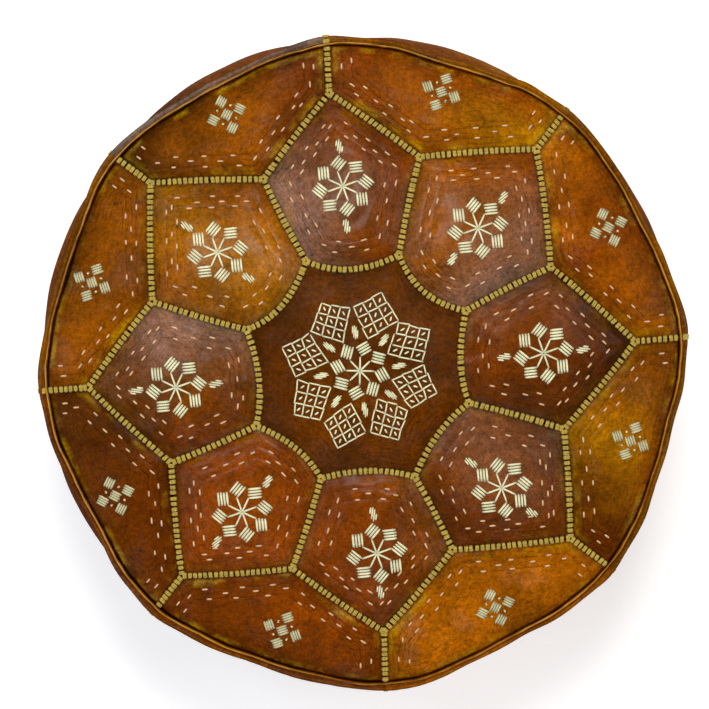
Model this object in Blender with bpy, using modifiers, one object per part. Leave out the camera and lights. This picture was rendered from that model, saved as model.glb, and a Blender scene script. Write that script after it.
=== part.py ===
"""A round, stuffed leather pouf with an embroidered star top, standing on its base.

Metres, +Z up. The origin is the centre of the base, on the floor. The cover is sewn from a star
panel, eight petals, eight crown panels, eight side panels and two base halves. The base halves
are joined by a zip, which lies in a shallow dent so that its slider stays off the floor. Every
layer is a turned shell with the same number of steps, so neighbouring layers have parallel facets
and keep an even gap. Petal k lies at 45 k degrees from +X.
"""

import math

import bmesh
import bpy
from mathutils import Matrix, Vector

# Overall form
HEIGHT = 0.300
DOME_RISE = 0.028
TOP_RADIUS = 0.2460
RIM_RADIUS = 0.2500
BULGE_RADIUS = 0.2680
BASE_RADIUS = 0.2445
SIDE_TOP = 0.2668
SIDE_BOTTOM = 0.0085
SIDE_CURVE = 2.6
LEATHER = 0.0020

# Layers inside the cover, measured inwards from its outer surface
LINER_OUTSIDE = 0.0032
LINER_INSIDE = 0.0040
FILLING_OUTSIDE = 0.0048
INSIDE_TOP = 0.2608
INSIDE_BOTTOM = 0.0140
INSIDE_BASE_RADIUS = 0.2345

# Piping
WELT_RADIUS = 0.0032
TOP_WELT_HEIGHT = 0.2706
BASE_WELT_RING = 0.2485
BASE_WELT_HEIGHT = 0.0046

# Panels of the top, hand cut: mean radius, and how far each corner is off (mm and degrees)
PANELS = 8
PITCH = math.tau / PANELS
STAR_CENTRE = Vector((-0.002, -0.006))
STAR_RADIUS = 0.093
STAR_WAIST = 0.079
VALLEY_RADIUS = 0.167
TIP_RADIUS = 0.216
STAR_OFF_MM = (2, 2, 2, 1, -1, -3, 1, -4)
STAR_OFF_DEG = (1.5, -1.5, -1.5, -2.5, 0.5, -2.5, -0.5, 0.5)
VALLEY_OFF_MM = (3, 6, 0, 4, -2, -2, -8, 0)
VALLEY_OFF_DEG = (0.5, 1.5, -1, -1, -1.5, -1.5, -0.5, 1)
TIP_OFF_MM = (2, 6, 2, 4, -2, -1, -8, -3)
TIP_OFF_DEG = (0.5, 1, 1, -2, -1.5, -1, 0, 1)
RIM_OFF_DEG = (-1, 0.5, 1, 0, 0, 0, -1, 0)

# Seams and their thread. The thread between two petals stops short of the star and of the crown.
SEAM_HALF_GAP = 0.0004
THREAD_HALF_WIDTH = 0.0028
THREAD_LIFT = 0.0003
THREAD_HEIGHT = 0.0009
PETAL_SEAM_ENDS = (0.0122, 0.0064)
CROWN_SEAM_MARGIN = 0.0015
SIDE_SEAM_MARGIN = 0.0040
STAR_SIDE_STEPS = 4
RIM_STEPS = 4

# Zip: its centre plane, and half sizes along X, Y and Z
ZIP_HEIGHT = 0.0110
TAPE_HALF = Vector((0.158, 0.00535, 0.0004))
TAPE_MIDDLE_Y = 0.00865
TOOTH_PITCH = 0.0075
TOOTH_START = 0.2 * TOOTH_PITCH
TOOTH_END = 0.8 * TOOTH_PITCH
TEETH_COUNT = 40
TEETH_INNER_Y = 0.0007
TEETH_GAP_Y = 0.0016
TEETH_OUTER_Y = 0.0030
TEETH_HALF_HEIGHT = 0.0013
STOP_HALF = Vector((0.0015, 0.0028, 0.0014))
STOP_X = 0.153
SLIDER_X = 0.140
SLIDER_HALF_LENGTH = 0.006
SLIDER_HALF_WIDTH = 0.0042
SLIDER_PLATE_INNER = 0.0016
SLIDER_PLATE_OUTER = 0.0028
SLIDER_POST_HALF = 0.0004
LUG_HALF = Vector((0.0025, 0.0010, 0.0018))
LUG_HEIGHT = 0.0070
PIN_RADIUS = 0.00059
PIN_HALF_LENGTH = 0.0024
PIN_HEIGHT = 0.0066
PIN_HOLE_RADIUS = 0.0010
PIN_HOLE_HALF_LENGTH = 0.0020
PULL_HALF_THICKNESS = 0.0006
PULL_LENGTH = 0.026
PULL_HALF_WIDTH = 0.0040
FORK_HALF_WIDTH = 0.0027
FORK_SLOT_HALF = 0.0014
FORK_DEPTH = 0.0042
NECK_LENGTH = 0.0012
PULL_CHAMFER = 0.0020

# Dent of the base round the zip
DENT_HEIGHT = 0.0083
DENT_FLAT = (0.172, 0.016)
DENT_END = (0.202, 0.034)
ZIP_WINDOW = (0.160, 0.0060)
GROOVE_HALF = Vector((0.212, 0.047, 0.0160))
BASE_SHEET_REACH = 0.2475
BASE_COLUMNS = 28
BASE_ROWS = 7

# Facets
TURN_STEPS = 48
DOME_STEPS = 5
SIDE_STEPS = 6
WELT_SIDES = 6
PIN_SIDES = 12
CUTTER_RADIUS = 0.35
CUTTER_TOP = 0.40
CUTTER_BOTTOM = -0.05

# Finish: base colour, roughness, metallic
STAR_DYE = (0.095, 0.026, 0.008)
PETAL_DYES = (
    (0.072, 0.014, 0.010),
    (0.205, 0.036, 0.011),
    (0.160, 0.031, 0.010),
    (0.305, 0.072, 0.007),
    (0.115, 0.026, 0.007),
    (0.223, 0.046, 0.005),
    (0.190, 0.037, 0.005),
    (0.145, 0.026, 0.009),
)
CROWN_DYES = (
    (0.262, 0.080, 0.005),
    (0.352, 0.115, 0.007),
    (0.156, 0.038, 0.005),
    (0.262, 0.080, 0.005),
    (0.102, 0.032, 0.005),
    (0.170, 0.045, 0.005),
    (0.402, 0.127, 0.007),
    (0.305, 0.102, 0.007),
)
LEATHER_FINISH = (0.38, 0.0)
BRASS_FINISH = (0.32, 1.0)
THREAD_ROUGHNESS = 0.55
TAPE_ROUGHNESS = 0.85
LINER_ROUGHNESS = 0.90
FILLING_ROUGHNESS = 0.95
THREAD_COLOUR = (0.30, 0.17, 0.035)
LINER_COLOUR = (0.62, 0.57, 0.48)
FILLING_COLOUR = (0.80, 0.78, 0.72)
TAPE_COLOUR = (0.10, 0.055, 0.028)
BRASS_COLOUR = (0.56, 0.36, 0.13)


def add_collection(name):
    """A new collection in the scene."""
    made = bpy.data.collections.new(name)
    bpy.context.scene.collection.children.link(made)
    return made


def finish(obj, colour, roughness, metallic=0.0):
    """Gives an object its own plain material and smooth shading."""
    material = bpy.data.materials.new(obj.name + "_finish")
    material.use_nodes = True
    shader = material.node_tree.nodes["Principled BSDF"]
    shader.inputs["Base Color"].default_value = (*colour, 1.0)
    shader.inputs["Roughness"].default_value = roughness
    shader.inputs["Metallic"].default_value = metallic
    material.diffuse_color = (*colour, 1.0)
    obj.data.materials.append(material)
    return obj


def add_object(name, data, collection):
    """A new object in a collection."""
    obj = bpy.data.objects.new(name, data)
    collection.objects.link(obj)
    return obj


def polar(radius, angle, centre=Vector((0.0, 0.0))):
    """The plan point at a radius and an angle round a centre."""
    return centre + Vector((math.cos(angle), math.sin(angle))) * radius


def offset_path(points, distance, closed=False):
    """Moves a 2D path to the left of its direction, with mitred corners. The axis stays put."""
    count = len(points)
    moved = []
    for i, here in enumerate(points):
        ends = []
        if closed or i > 0:
            ends.append((points[i - 1], here))
        if closed or i < count - 1:
            ends.append((here, points[(i + 1) % count]))
        normals = [Vector((a.y - b.y, b.x - a.x)).normalized() for a, b in ends]
        middle = sum(normals, Vector((0.0, 0.0))) / len(normals)
        point = here + middle * (distance / middle.length_squared)
        if not closed and here.x == 0.0:
            point.x = 0.0
        moved.append(point)
    return moved


# Profiles of the cover, as (radius, height) from the top centre outwards and down


def dome_height(radius):
    """Height of the cover's top surface at a radius."""
    return HEIGHT - DOME_RISE * (radius / TOP_RADIUS) ** 2


def side_radius(height):
    """Radius of the cover's side at a height: a barrel that fills out quickly from both ends."""
    middle = (SIDE_TOP + SIDE_BOTTOM) / 2
    share = abs(height - middle) / (SIDE_TOP - middle)
    return BULGE_RADIUS - (BULGE_RADIUS - RIM_RADIUS) * share**SIDE_CURVE


def dome_profile(edge=TOP_RADIUS):
    """The top surface, from the axis to its edge."""
    radii = [edge * i / DOME_STEPS for i in range(DOME_STEPS + 1)]
    return [Vector((r, dome_height(r))) for r in radii]


def side_profile(top=SIDE_TOP, bottom=SIDE_BOTTOM):
    """The side surface, from its top edge down, with more points near the ends."""
    heights = []
    for i in range(SIDE_STEPS + 1):
        share = 0.5 + 0.5 * math.cos(math.pi * i / SIDE_STEPS)
        heights.append(bottom + (top - bottom) * share)
    return [Vector((side_radius(z), z)) for z in heights]


def inner_profile(inset):
    """The whole outer surface moved inwards, closed at the axis above and below."""
    points = [Vector((p.x * (1 - inset / TOP_RADIUS), p.y - inset)) for p in dome_profile()]
    points += [Vector((p.x - inset, p.y)) for p in side_profile(INSIDE_TOP, INSIDE_BOTTOM)]
    points += [Vector((INSIDE_BASE_RADIUS - inset, inset)), Vector((0.0, inset))]
    return points


def shell_profile(profile, outside, inside):
    """A wall round a profile, between two distances outwards from it."""
    return offset_path(profile, outside) + offset_path(profile, inside)[::-1]


def add_turned(name, profile, collection, closed):
    """A solid turned round Z from a profile that runs down its outer side."""
    count = len(profile)
    edges = [(i, i + 1) for i in range(count - 1)]
    if closed:
        edges.append((count - 1, 0))
    mesh = bpy.data.meshes.new(name)
    mesh.from_pydata([(p.x, 0.0, p.y) for p in profile], edges, [])
    obj = add_object(name, mesh, collection)
    turn = obj.modifiers.new("turn", "SCREW")
    turn.steps = TURN_STEPS
    turn.render_steps = TURN_STEPS
    turn.use_merge_vertices = True
    turn.merge_threshold = 0.00001
    return obj


def add_shell(name, profile, outside, inside, collection):
    """A turned wall; one that starts on the axis is a cap, any other a ring."""
    closed = profile[0].x > 0.0
    return add_turned(name, shell_profile(profile, outside, inside), collection, closed)


def add_prism(name, outline, cutters):
    """A tall upright cutter with the given plan outline, counter-clockwise."""
    mesh = bpy.data.meshes.new(name)
    mesh.from_pydata([(p.x, p.y, CUTTER_BOTTOM) for p in outline], [], [range(len(outline))])
    obj = add_object(name, mesh, cutters)
    rise = obj.modifiers.new("height", "SOLIDIFY")
    rise.thickness = CUTTER_TOP - CUTTER_BOTTOM
    rise.offset = 1.0
    obj.hide_render = True
    obj.display_type = "WIRE"
    return obj


def add_box(name, half, centre, collection):
    """A box from its half sizes and its centre."""
    mesh = bpy.data.meshes.new(name)
    shape = bmesh.new()
    bmesh.ops.create_cube(shape, size=2.0, matrix=Matrix.Diagonal((*half, 1.0)))
    shape.to_mesh(mesh)
    shape.free()
    obj = add_object(name, mesh, collection)
    obj.location = centre
    return obj


def add_pin(name, radius, half_length, centre, collection):
    """A cylinder along Y."""
    mesh = bpy.data.meshes.new(name)
    shape = bmesh.new()
    bmesh.ops.create_cone(
        shape,
        cap_ends=True,
        segments=PIN_SIDES,
        radius1=radius,
        radius2=radius,
        depth=2 * half_length,
        matrix=Matrix.Rotation(math.pi / 2, 4, "X"),
    )
    shape.to_mesh(mesh)
    shape.free()
    obj = add_object(name, mesh, collection)
    obj.location = centre
    return obj


def add_plate(name, outline, half_height, centre, collection):
    """A flat plate from a plan outline, counter-clockwise round its own origin."""
    mesh = bpy.data.meshes.new(name)
    mesh.from_pydata([(p.x, p.y, -half_height) for p in outline], [], [range(len(outline))])
    obj = add_object(name, mesh, collection)
    rise = obj.modifiers.new("height", "SOLIDIFY")
    rise.thickness = 2 * half_height
    rise.offset = 1.0
    obj.location = centre
    return obj


def cut(obj, operation, cutter):
    """Adds an exact Boolean."""
    boolean = obj.modifiers.new(operation.lower(), "BOOLEAN")
    boolean.operation = operation
    boolean.solver = "EXACT"
    boolean.object = cutter
    return obj


def hidden(obj):
    """Marks an object as a cutter."""
    obj.hide_render = True
    obj.display_type = "WIRE"
    return obj


# Plan of the top: corner k of the star and of the valleys lies between petals k and k + 1


def corners(mean, off_mm, off_deg, turn):
    """Eight hand-cut corners round the star's centre."""
    points = []
    for k in range(PANELS):
        angle = (k + turn) * PITCH + math.radians(off_deg[k])
        points.append(polar(mean + off_mm[k] / 1000, angle, STAR_CENTRE))
    return points


STAR_CORNERS = corners(STAR_RADIUS, STAR_OFF_MM, STAR_OFF_DEG, 0.5)
VALLEYS = corners(VALLEY_RADIUS, VALLEY_OFF_MM, VALLEY_OFF_DEG, 0.5)
TIPS = corners(TIP_RADIUS, TIP_OFF_MM, TIP_OFF_DEG, 0.0)
RIM_ANGLES = [k * PITCH + math.radians(RIM_OFF_DEG[k]) for k in range(PANELS)]


def star_side(k):
    """The hollow side of the star along petal k, from corner k - 1 to corner k."""
    start = STAR_CORNERS[k - 1]
    end = STAR_CORNERS[k]
    waist = polar(STAR_WAIST, k * PITCH, STAR_CENTRE)
    pull = waist * 2 - (start + end) / 2
    points = []
    for i in range(STAR_SIDE_STEPS + 1):
        t = i / STAR_SIDE_STEPS
        points.append(start * (1 - t) ** 2 + pull * (2 * t * (1 - t)) + end * t**2)
    return points


def star_outline():
    """The eight-pointed star."""
    points = []
    for k in range(PANELS):
        points += star_side(k)[:-1]
    return points


def petal_outline(k):
    """Petal k: the star's side, two shared sides, and two sides up to its tip."""
    return [VALLEYS[k - 1], TIPS[k], VALLEYS[k], *star_side(k)[::-1]]


def petals_outline():
    """The outer edge of all eight petals."""
    points = []
    for k in range(PANELS):
        points += [TIPS[k], VALLEYS[k]]
    return points


def crown_outline(k):
    """Crown panel k, from petal tips k and k + 1 to the rim."""
    after = (k + 1) % PANELS
    first = RIM_ANGLES[k]
    last = RIM_ANGLES[after] + (math.tau if after == 0 else 0.0)
    turns = [first + (last - first) * i / RIM_STEPS for i in range(RIM_STEPS + 1)]
    return [TIPS[k], *(polar(CUTTER_RADIUS, turn) for turn in turns), TIPS[after], VALLEYS[k]]


def wedge_outline(k):
    """The sector of side panel k."""
    after = (k + 1) % PANELS
    last = RIM_ANGLES[after] + (math.tau if after == 0 else 0.0)
    middle = (RIM_ANGLES[k] + last) / 2
    return [Vector((0.0, 0.0)), *(polar(CUTTER_RADIUS, a) for a in (RIM_ANGLES[k], middle, last))]


def ribbon_outline(start, end, half_width):
    """A straight band between two plan points."""
    across = (end - start).orthogonal().normalized() * half_width
    return [start - across, end - across, end + across, start + across]


# Sub-parts


def add_cover_panel(name, profile, outline, dye, parts, cutters):
    """One leather panel, cut out of a turned shell with half the seam gap off each edge."""
    panel = add_shell(name, profile, 0.0, -LEATHER, parts)
    prism = add_prism(name + "_cutter", offset_path(outline, SEAM_HALF_GAP, True), cutters)
    cut(panel, "INTERSECT", prism)
    return finish(panel, dye, *LEATHER_FINISH)


def add_top(parts, cutters):
    """The star, the petals and the crown panels."""
    dome = dome_profile()
    add_cover_panel("star_panel", dome, star_outline(), STAR_DYE, parts, cutters)
    for k in range(PANELS):
        name = f"petal_panel_{k + 1}"
        add_cover_panel(name, dome, petal_outline(k), PETAL_DYES[k], parts, cutters)
    for k in range(PANELS):
        name = f"crown_panel_{k + 1}"
        add_cover_panel(name, dome, crown_outline(k), CROWN_DYES[k], parts, cutters)


def add_sides(parts, cutters):
    """The eight side panels."""
    for k in range(PANELS):
        name = f"side_panel_{k + 1}"
        outline = wedge_outline(k)
        add_cover_panel(name, side_profile(), outline, CROWN_DYES[k], parts, cutters)


def add_thread(name, profile, parts):
    """The turned layer that a seam's thread is cut from, just above the leather."""
    thread = add_shell(name, profile, THREAD_LIFT + THREAD_HEIGHT, THREAD_LIFT, parts)
    return finish(thread, THREAD_COLOUR, THREAD_ROUGHNESS)


def add_top_threads(parts, cutters):
    """Thread round the star, between the petals, and round the petals and out to the rim."""
    dome = dome_profile()
    star = star_outline()
    width = THREAD_HALF_WIDTH
    star_seam = add_thread("star_seam", dome, parts)
    outer = add_prism("star_seam_outside", offset_path(star, -width, True), cutters)
    inner = add_prism("star_seam_inside", offset_path(star, width, True), cutters)
    cut(star_seam, "INTERSECT", outer)
    cut(star_seam, "DIFFERENCE", inner)

    from_star, from_crown = PETAL_SEAM_ENDS
    for k in range(PANELS):
        along = (VALLEYS[k] - STAR_CORNERS[k]).normalized()
        ends = STAR_CORNERS[k] + along * from_star, VALLEYS[k] - along * from_crown
        band = add_prism(f"petal_seam_{k + 1}_cutter", ribbon_outline(*ends, width), cutters)
        cut(add_thread(f"petal_seam_{k + 1}", dome, parts), "INTERSECT", band)

    crown_seam = add_thread("crown_seam", dome_profile(TOP_RADIUS - CROWN_SEAM_MARGIN), parts)
    petals = offset_path(petals_outline(), width, True)
    cut(crown_seam, "DIFFERENCE", add_prism("crown_seam_inside", petals, cutters))
    for k in range(PANELS):
        outline = offset_path(crown_outline(k), width, True)
        cut(crown_seam, "DIFFERENCE", add_prism(f"crown_seam_cutter_{k + 1}", outline, cutters))


def add_side_threads(parts, cutters):
    """Thread down each seam of the side."""
    profile = side_profile(SIDE_TOP - SIDE_SEAM_MARGIN, SIDE_BOTTOM + SIDE_SEAM_MARGIN)
    for k in range(PANELS):
        ends = polar(RIM_RADIUS / 2, RIM_ANGLES[k]), polar(CUTTER_RADIUS, RIM_ANGLES[k])
        band = add_prism(f"side_seam_{k + 1}_cutter", ribbon_outline(*ends, THREAD_HALF_WIDTH), cutters)
        cut(add_thread(f"side_seam_{k + 1}", profile, parts), "INTERSECT", band)


def add_welt(name, ring, height, dye, parts):
    """A piped edge: a leather-covered cord round the pouf."""
    turns = [-math.tau * i / WELT_SIDES for i in range(WELT_SIDES)]
    profile = [polar(WELT_RADIUS, a, Vector((ring, height))) for a in turns]
    return finish(add_turned(name, profile, parts, True), dye, *LEATHER_FINISH)


def dent(x, y):
    """How far the base is drawn up at a plan point: flat round the zip, smooth down to zero."""
    shares = []
    for value, flat, end in zip((x, y), DENT_FLAT, DENT_END):
        t = min(max((end - abs(value)) / (end - flat), 0.0), 1.0)
        shares.append(t * t * (3 - 2 * t))
    return DENT_HEIGHT * shares[0] * shares[1]


def base_outline(side):
    """A half disc with half of the zip's window cut from its straight edge."""
    gap = SEAM_HALF_GAP
    x, y = ZIP_WINDOW
    steps = TURN_STEPS // 2
    start = math.asin(gap / BASE_RADIUS)
    turns = [start + (math.pi - 2 * start) * i / steps for i in range(steps + 1)]
    points = [polar(BASE_RADIUS, a) for a in turns]
    points += [Vector((-x, gap)), Vector((-x, y)), Vector((x, y)), Vector((x, gap))]
    if side < 0:
        points = [Vector((p.x, -p.y)) for p in points][::-1]
    return points


def add_base_half(name, side, parts, cutters):
    """Half of the base: a sheet with more rows near the zip, drawn up there, and given thickness."""
    mesh = bpy.data.meshes.new(name)
    sheet = bmesh.new()
    bmesh.ops.create_grid(sheet, x_segments=BASE_COLUMNS, y_segments=BASE_ROWS, size=1.0)
    for vertex in sheet.verts:
        x = vertex.co.x * BASE_SHEET_REACH
        y = side * BASE_SHEET_REACH * ((vertex.co.y + 1) / 2) ** 2
        vertex.co = (x, y, dent(x, y))
    if side < 0:
        bmesh.ops.reverse_faces(sheet, faces=sheet.faces)
    sheet.to_mesh(mesh)
    sheet.free()
    half = add_object(name, mesh, parts)
    wall = half.modifiers.new("leather", "SOLIDIFY")
    wall.thickness = LEATHER
    wall.offset = 1.0
    half.modifiers.new("flat faces", "TRIANGULATE")
    cut(half, "INTERSECT", add_prism(name + "_cutter", base_outline(side), cutters))
    return finish(half, CROWN_DYES[2], *LEATHER_FINISH)


def add_inside(parts, cutters):
    """The cotton liner, left unsewn under the zip, and the filling that it holds."""
    groove = hidden(add_box("zip_groove", GROOVE_HALF, (0.0, 0.0, 0.0), cutters))
    outside = inner_profile(LINER_OUTSIDE)
    inside = inner_profile(LINER_INSIDE)
    wall = outside + inside[::-1]
    liner = add_turned("liner_bag", wall, parts, False)
    filling = add_turned("filling", inner_profile(FILLING_OUTSIDE), parts, False)
    for obj in (liner, filling):
        cut(obj, "DIFFERENCE", groove)
    finish(liner, LINER_COLOUR, LINER_ROUGHNESS)
    finish(filling, FILLING_COLOUR, FILLING_ROUGHNESS)


def teeth_outline(side):
    """One row of zip teeth in plan: a bar with a tooth to every pitch."""
    start = -TEETH_COUNT * TOOTH_PITCH / 2
    points = []
    for i in range(TEETH_COUNT):
        x = start + i * TOOTH_PITCH
        points += [
            Vector((x, TEETH_GAP_Y)),
            Vector((x + TOOTH_START, TEETH_GAP_Y)),
            Vector((x + TOOTH_START, TEETH_INNER_Y)),
            Vector((x + TOOTH_END, TEETH_INNER_Y)),
            Vector((x + TOOTH_END, TEETH_GAP_Y)),
        ]
    points += [Vector((-start, TEETH_GAP_Y)), Vector((-start, TEETH_OUTER_Y))]
    points.append(Vector((start, TEETH_OUTER_Y)))
    if side < 0:
        points = [Vector((p.x, -p.y)) for p in points][::-1]
    return points


def add_zip_chain(parts):
    """Tapes, rows of teeth and end stops."""
    for word, side in (("left", 1), ("right", -1)):
        centre = (0.0, side * TAPE_MIDDLE_Y, ZIP_HEIGHT)
        finish(add_box(f"zip_tape_{word}", TAPE_HALF, centre, parts), TAPE_COLOUR, TAPE_ROUGHNESS)
        outline = teeth_outline(side)
        place = (0.0, 0.0, ZIP_HEIGHT)
        teeth = add_plate(f"zip_teeth_{word}", outline, TEETH_HALF_HEIGHT, place, parts)
        finish(teeth, BRASS_COLOUR, *BRASS_FINISH)
    for word, side in (("top", 1), ("bottom", -1)):
        stop = add_box(f"zip_{word}_stop", STOP_HALF, (side * STOP_X, 0.0, ZIP_HEIGHT), parts)
        finish(stop, BRASS_COLOUR, *BRASS_FINISH)


def add_zip_slider(parts, cutters):
    """Two plates joined by a post between the rows of teeth, with a drilled lug for the pull."""
    place = Vector((SLIDER_X, 0.0, ZIP_HEIGHT))
    middle = (SLIDER_PLATE_INNER + SLIDER_PLATE_OUTER) / 2
    plate_half = Vector(
        (SLIDER_HALF_LENGTH, SLIDER_HALF_WIDTH, (SLIDER_PLATE_OUTER - SLIDER_PLATE_INNER) / 2)
    )
    slider = add_box("zip_slider", plate_half, place - Vector((0, 0, middle)), parts)
    post_half = Vector((SLIDER_HALF_LENGTH / 2, SLIDER_POST_HALF, middle))
    pieces = [
        add_box("slider_upper_plate", plate_half, place + Vector((0, 0, middle)), cutters),
        add_box("slider_post", post_half, place, cutters),
        add_box("slider_lug", LUG_HALF, (SLIDER_X, 0.0, LUG_HEIGHT), cutters),
    ]
    for piece in pieces:
        cut(slider, "UNION", hidden(piece))
    place = (SLIDER_X, 0.0, PIN_HEIGHT)
    hole = add_pin("slider_hole", PIN_HOLE_RADIUS, PIN_HOLE_HALF_LENGTH, place, cutters)
    cut(slider, "DIFFERENCE", hidden(hole))
    finish(slider, BRASS_COLOUR, *BRASS_FINISH)


def add_zip_pull(parts, cutters):
    """A forked tab on a pin, lying along the closed zip. Its origin is on the pin's axis."""
    place = (SLIDER_X, 0.0, PIN_HEIGHT)
    front = PULL_HALF_THICKNESS
    neck = -FORK_DEPTH - NECK_LENGTH
    half_outline = [
        Vector((front, FORK_SLOT_HALF)),
        Vector((front, FORK_HALF_WIDTH)),
        Vector((neck, FORK_HALF_WIDTH)),
        Vector((neck - PULL_CHAMFER, PULL_HALF_WIDTH)),
        Vector((-PULL_LENGTH + PULL_CHAMFER, PULL_HALF_WIDTH)),
        Vector((-PULL_LENGTH, PULL_HALF_WIDTH / 2)),
    ]
    slot = [Vector((-FORK_DEPTH, -FORK_SLOT_HALF)), Vector((-FORK_DEPTH, FORK_SLOT_HALF))]
    outline = half_outline + [Vector((p.x, -p.y)) for p in half_outline[::-1]] + slot
    pull = add_plate("zip_pull", outline, PULL_HALF_THICKNESS, place, parts)
    pin = add_pin("pull_pin", PIN_RADIUS, PIN_HALF_LENGTH, place, cutters)
    cut(pull, "UNION", hidden(pin))
    finish(pull, BRASS_COLOUR, *BRASS_FINISH)


def main():
    """Clears the scene and builds the pouf."""
    for obj in list(bpy.data.objects):
        bpy.data.objects.remove(obj, do_unlink=True)
    parts = add_collection("leather_pouf")
    cutters = add_collection("cutters")
    add_top(parts, cutters)
    add_sides(parts, cutters)
    add_top_threads(parts, cutters)
    add_side_threads(parts, cutters)
    add_welt("top_welt", RIM_RADIUS, TOP_WELT_HEIGHT, CROWN_DYES[1], parts)
    add_welt("base_welt", BASE_WELT_RING, BASE_WELT_HEIGHT, CROWN_DYES[2], parts)
    add_base_half("base_panel_left", 1, parts, cutters)
    add_base_half("base_panel_right", -1, parts, cutters)
    add_inside(parts, cutters)
    add_zip_chain(parts)
    add_zip_slider(parts, cutters)
    add_zip_pull(parts, cutters)


main()
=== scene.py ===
"""The looks of the leather pouf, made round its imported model.

The cover's panels are cut from one stuffed surface: a net of the seams is inflated by a cloth
simulation, and each panel is then meshed finely between its seams and laid on that surface, with
its rolled edges and tooled lines. Threads are tubes laid on the finished leather. Distances are
in metres, and "plan" points are (x, y) seen from above. Petal k lies at 45 k degrees from +X.
"""

import math

import bpy
import numpy as np
from mathutils import Matrix, Vector, noise
from mathutils.bvhtree import BVHTree
from mathutils.geometry import delaunay_2d_cdt


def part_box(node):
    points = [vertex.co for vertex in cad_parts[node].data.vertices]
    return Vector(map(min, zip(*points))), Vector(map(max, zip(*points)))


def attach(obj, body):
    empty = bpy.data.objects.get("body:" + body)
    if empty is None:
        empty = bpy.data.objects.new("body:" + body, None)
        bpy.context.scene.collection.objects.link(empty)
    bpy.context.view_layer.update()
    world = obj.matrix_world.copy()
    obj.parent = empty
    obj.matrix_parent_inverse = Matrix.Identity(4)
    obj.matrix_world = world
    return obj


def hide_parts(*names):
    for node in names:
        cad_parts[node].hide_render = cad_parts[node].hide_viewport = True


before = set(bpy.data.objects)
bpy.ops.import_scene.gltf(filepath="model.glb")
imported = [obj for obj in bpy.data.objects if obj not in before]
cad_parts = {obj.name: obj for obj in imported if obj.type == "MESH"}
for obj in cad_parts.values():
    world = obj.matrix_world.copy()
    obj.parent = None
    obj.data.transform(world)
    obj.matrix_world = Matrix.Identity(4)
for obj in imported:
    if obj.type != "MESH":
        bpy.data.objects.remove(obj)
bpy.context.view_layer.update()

BODY = "pouf"
RANDOM = np.random.default_rng(8)
DOWN = Vector((0.0, 0.0, -1.0))

# Sizes read from the frame
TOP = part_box("star_panel")[1].z
WELT_LOW, WELT_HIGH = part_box("top_welt")
WELT_HEIGHT = (WELT_HIGH.z + WELT_LOW.z) / 2
RIM_RADIUS = WELT_HIGH.x - (WELT_HIGH.z - WELT_LOW.z) / 2
BULGE_RADIUS = max(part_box(f"side_panel_{k + 1}")[1].x for k in range(8))
SIDE_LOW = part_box("side_panel_1")[0].z
SIDE_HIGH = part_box("side_panel_1")[1].z
BASE_WELT_LOW, BASE_WELT_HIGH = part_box("base_welt")
BASE_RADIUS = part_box("base_panel_left")[1].x

# The plan of the top, with the corners as far off the regular pattern as the hand-cut panels are
PANELS = 8
PITCH = math.tau / PANELS
STAR_CENTRE = Vector((-0.002, -0.006))
STAR_RADIUS = 0.093
STAR_WAIST = 0.079
VALLEY_RADIUS = 0.167
TIP_RADIUS = 0.216
STAR_OFF_MM = (2, 2, 2, 1, -1, -3, 1, -4)
STAR_OFF_DEG = (1.5, -1.5, -1.5, -2.5, 0.5, -2.5, -0.5, 0.5)
VALLEY_OFF_MM = (3, 6, 0, 4, -2, -2, -8, 0)
VALLEY_OFF_DEG = (0.5, 1.5, -1, -1, -1.5, -1.5, -0.5, 1)
TIP_OFF_MM = (2, 6, 2, 4, -2, -1, -8, -3)
TIP_OFF_DEG = (0.5, 1, 1, -2, -1.5, -1, 0, 1)
RIM_OFF_DEG = (-1, 0.5, 1, 0, 0, 0, -1, 0)
PETAL_BOW = 0.012
CROWN_BOW = -0.010
CURVE_STEPS = 24

# Leather
LEATHER = 0.0018
JOINT_HALF_GAP = 0.0004
DOME_RISE = 0.027
DOME_DROP = 0.0005
SEAM_SINK = 0.0022
SIDE_SEAM_SINK = 0.0012
ROLL_DEPTH = 0.0015
ROLL_WIDTH = 0.0015
PULL_DEPTH = 0.0007
PULL_WIDTH = 0.0009
PULL_AT = 0.0028
ROLL_ROWS = (0.0010, 0.0019, 0.0028, 0.0038, 0.0056, 0.0085)
PETAL_ROWS = (0.0130, 0.0172, 0.0214)
CROWN_ROWS = (0.0110, 0.0150, 0.0190)
TOOL_HALF_WIDTH = 0.0006
TOOL_DEPTH = 0.00022
TOOL_CLEARANCE = 0.0008
SEAM_STEP = 0.0030
FIELD_STEP = 0.0042
BASE_STEP = 0.0055
EDGE_SPACING = 0.0011

# Stuffing
NET_STEP = 0.0085
SIDE_NET_STEP = 0.0110
TOP_PRESSURE = 25.0
SIDE_PRESSURE = 12.0
CLOTH_FRAMES = 24
CLOTH_SETTINGS = {
    "quality": 6,
    "mass": 0.4,
    "tension_stiffness": 25,
    "compression_stiffness": 25,
    "shear_stiffness": 12,
    "bending_stiffness": 4.0,
    "tension_damping": 10,
    "compression_damping": 10,
    "air_damping": 6,
    "shrink_min": -0.010,
}
SIDE_CURVE = 2.6
SIDE_SLACK = 0.0056
SIDE_FLATTENING = 0.0048
SIDE_MARGIN = 0.0008

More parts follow.
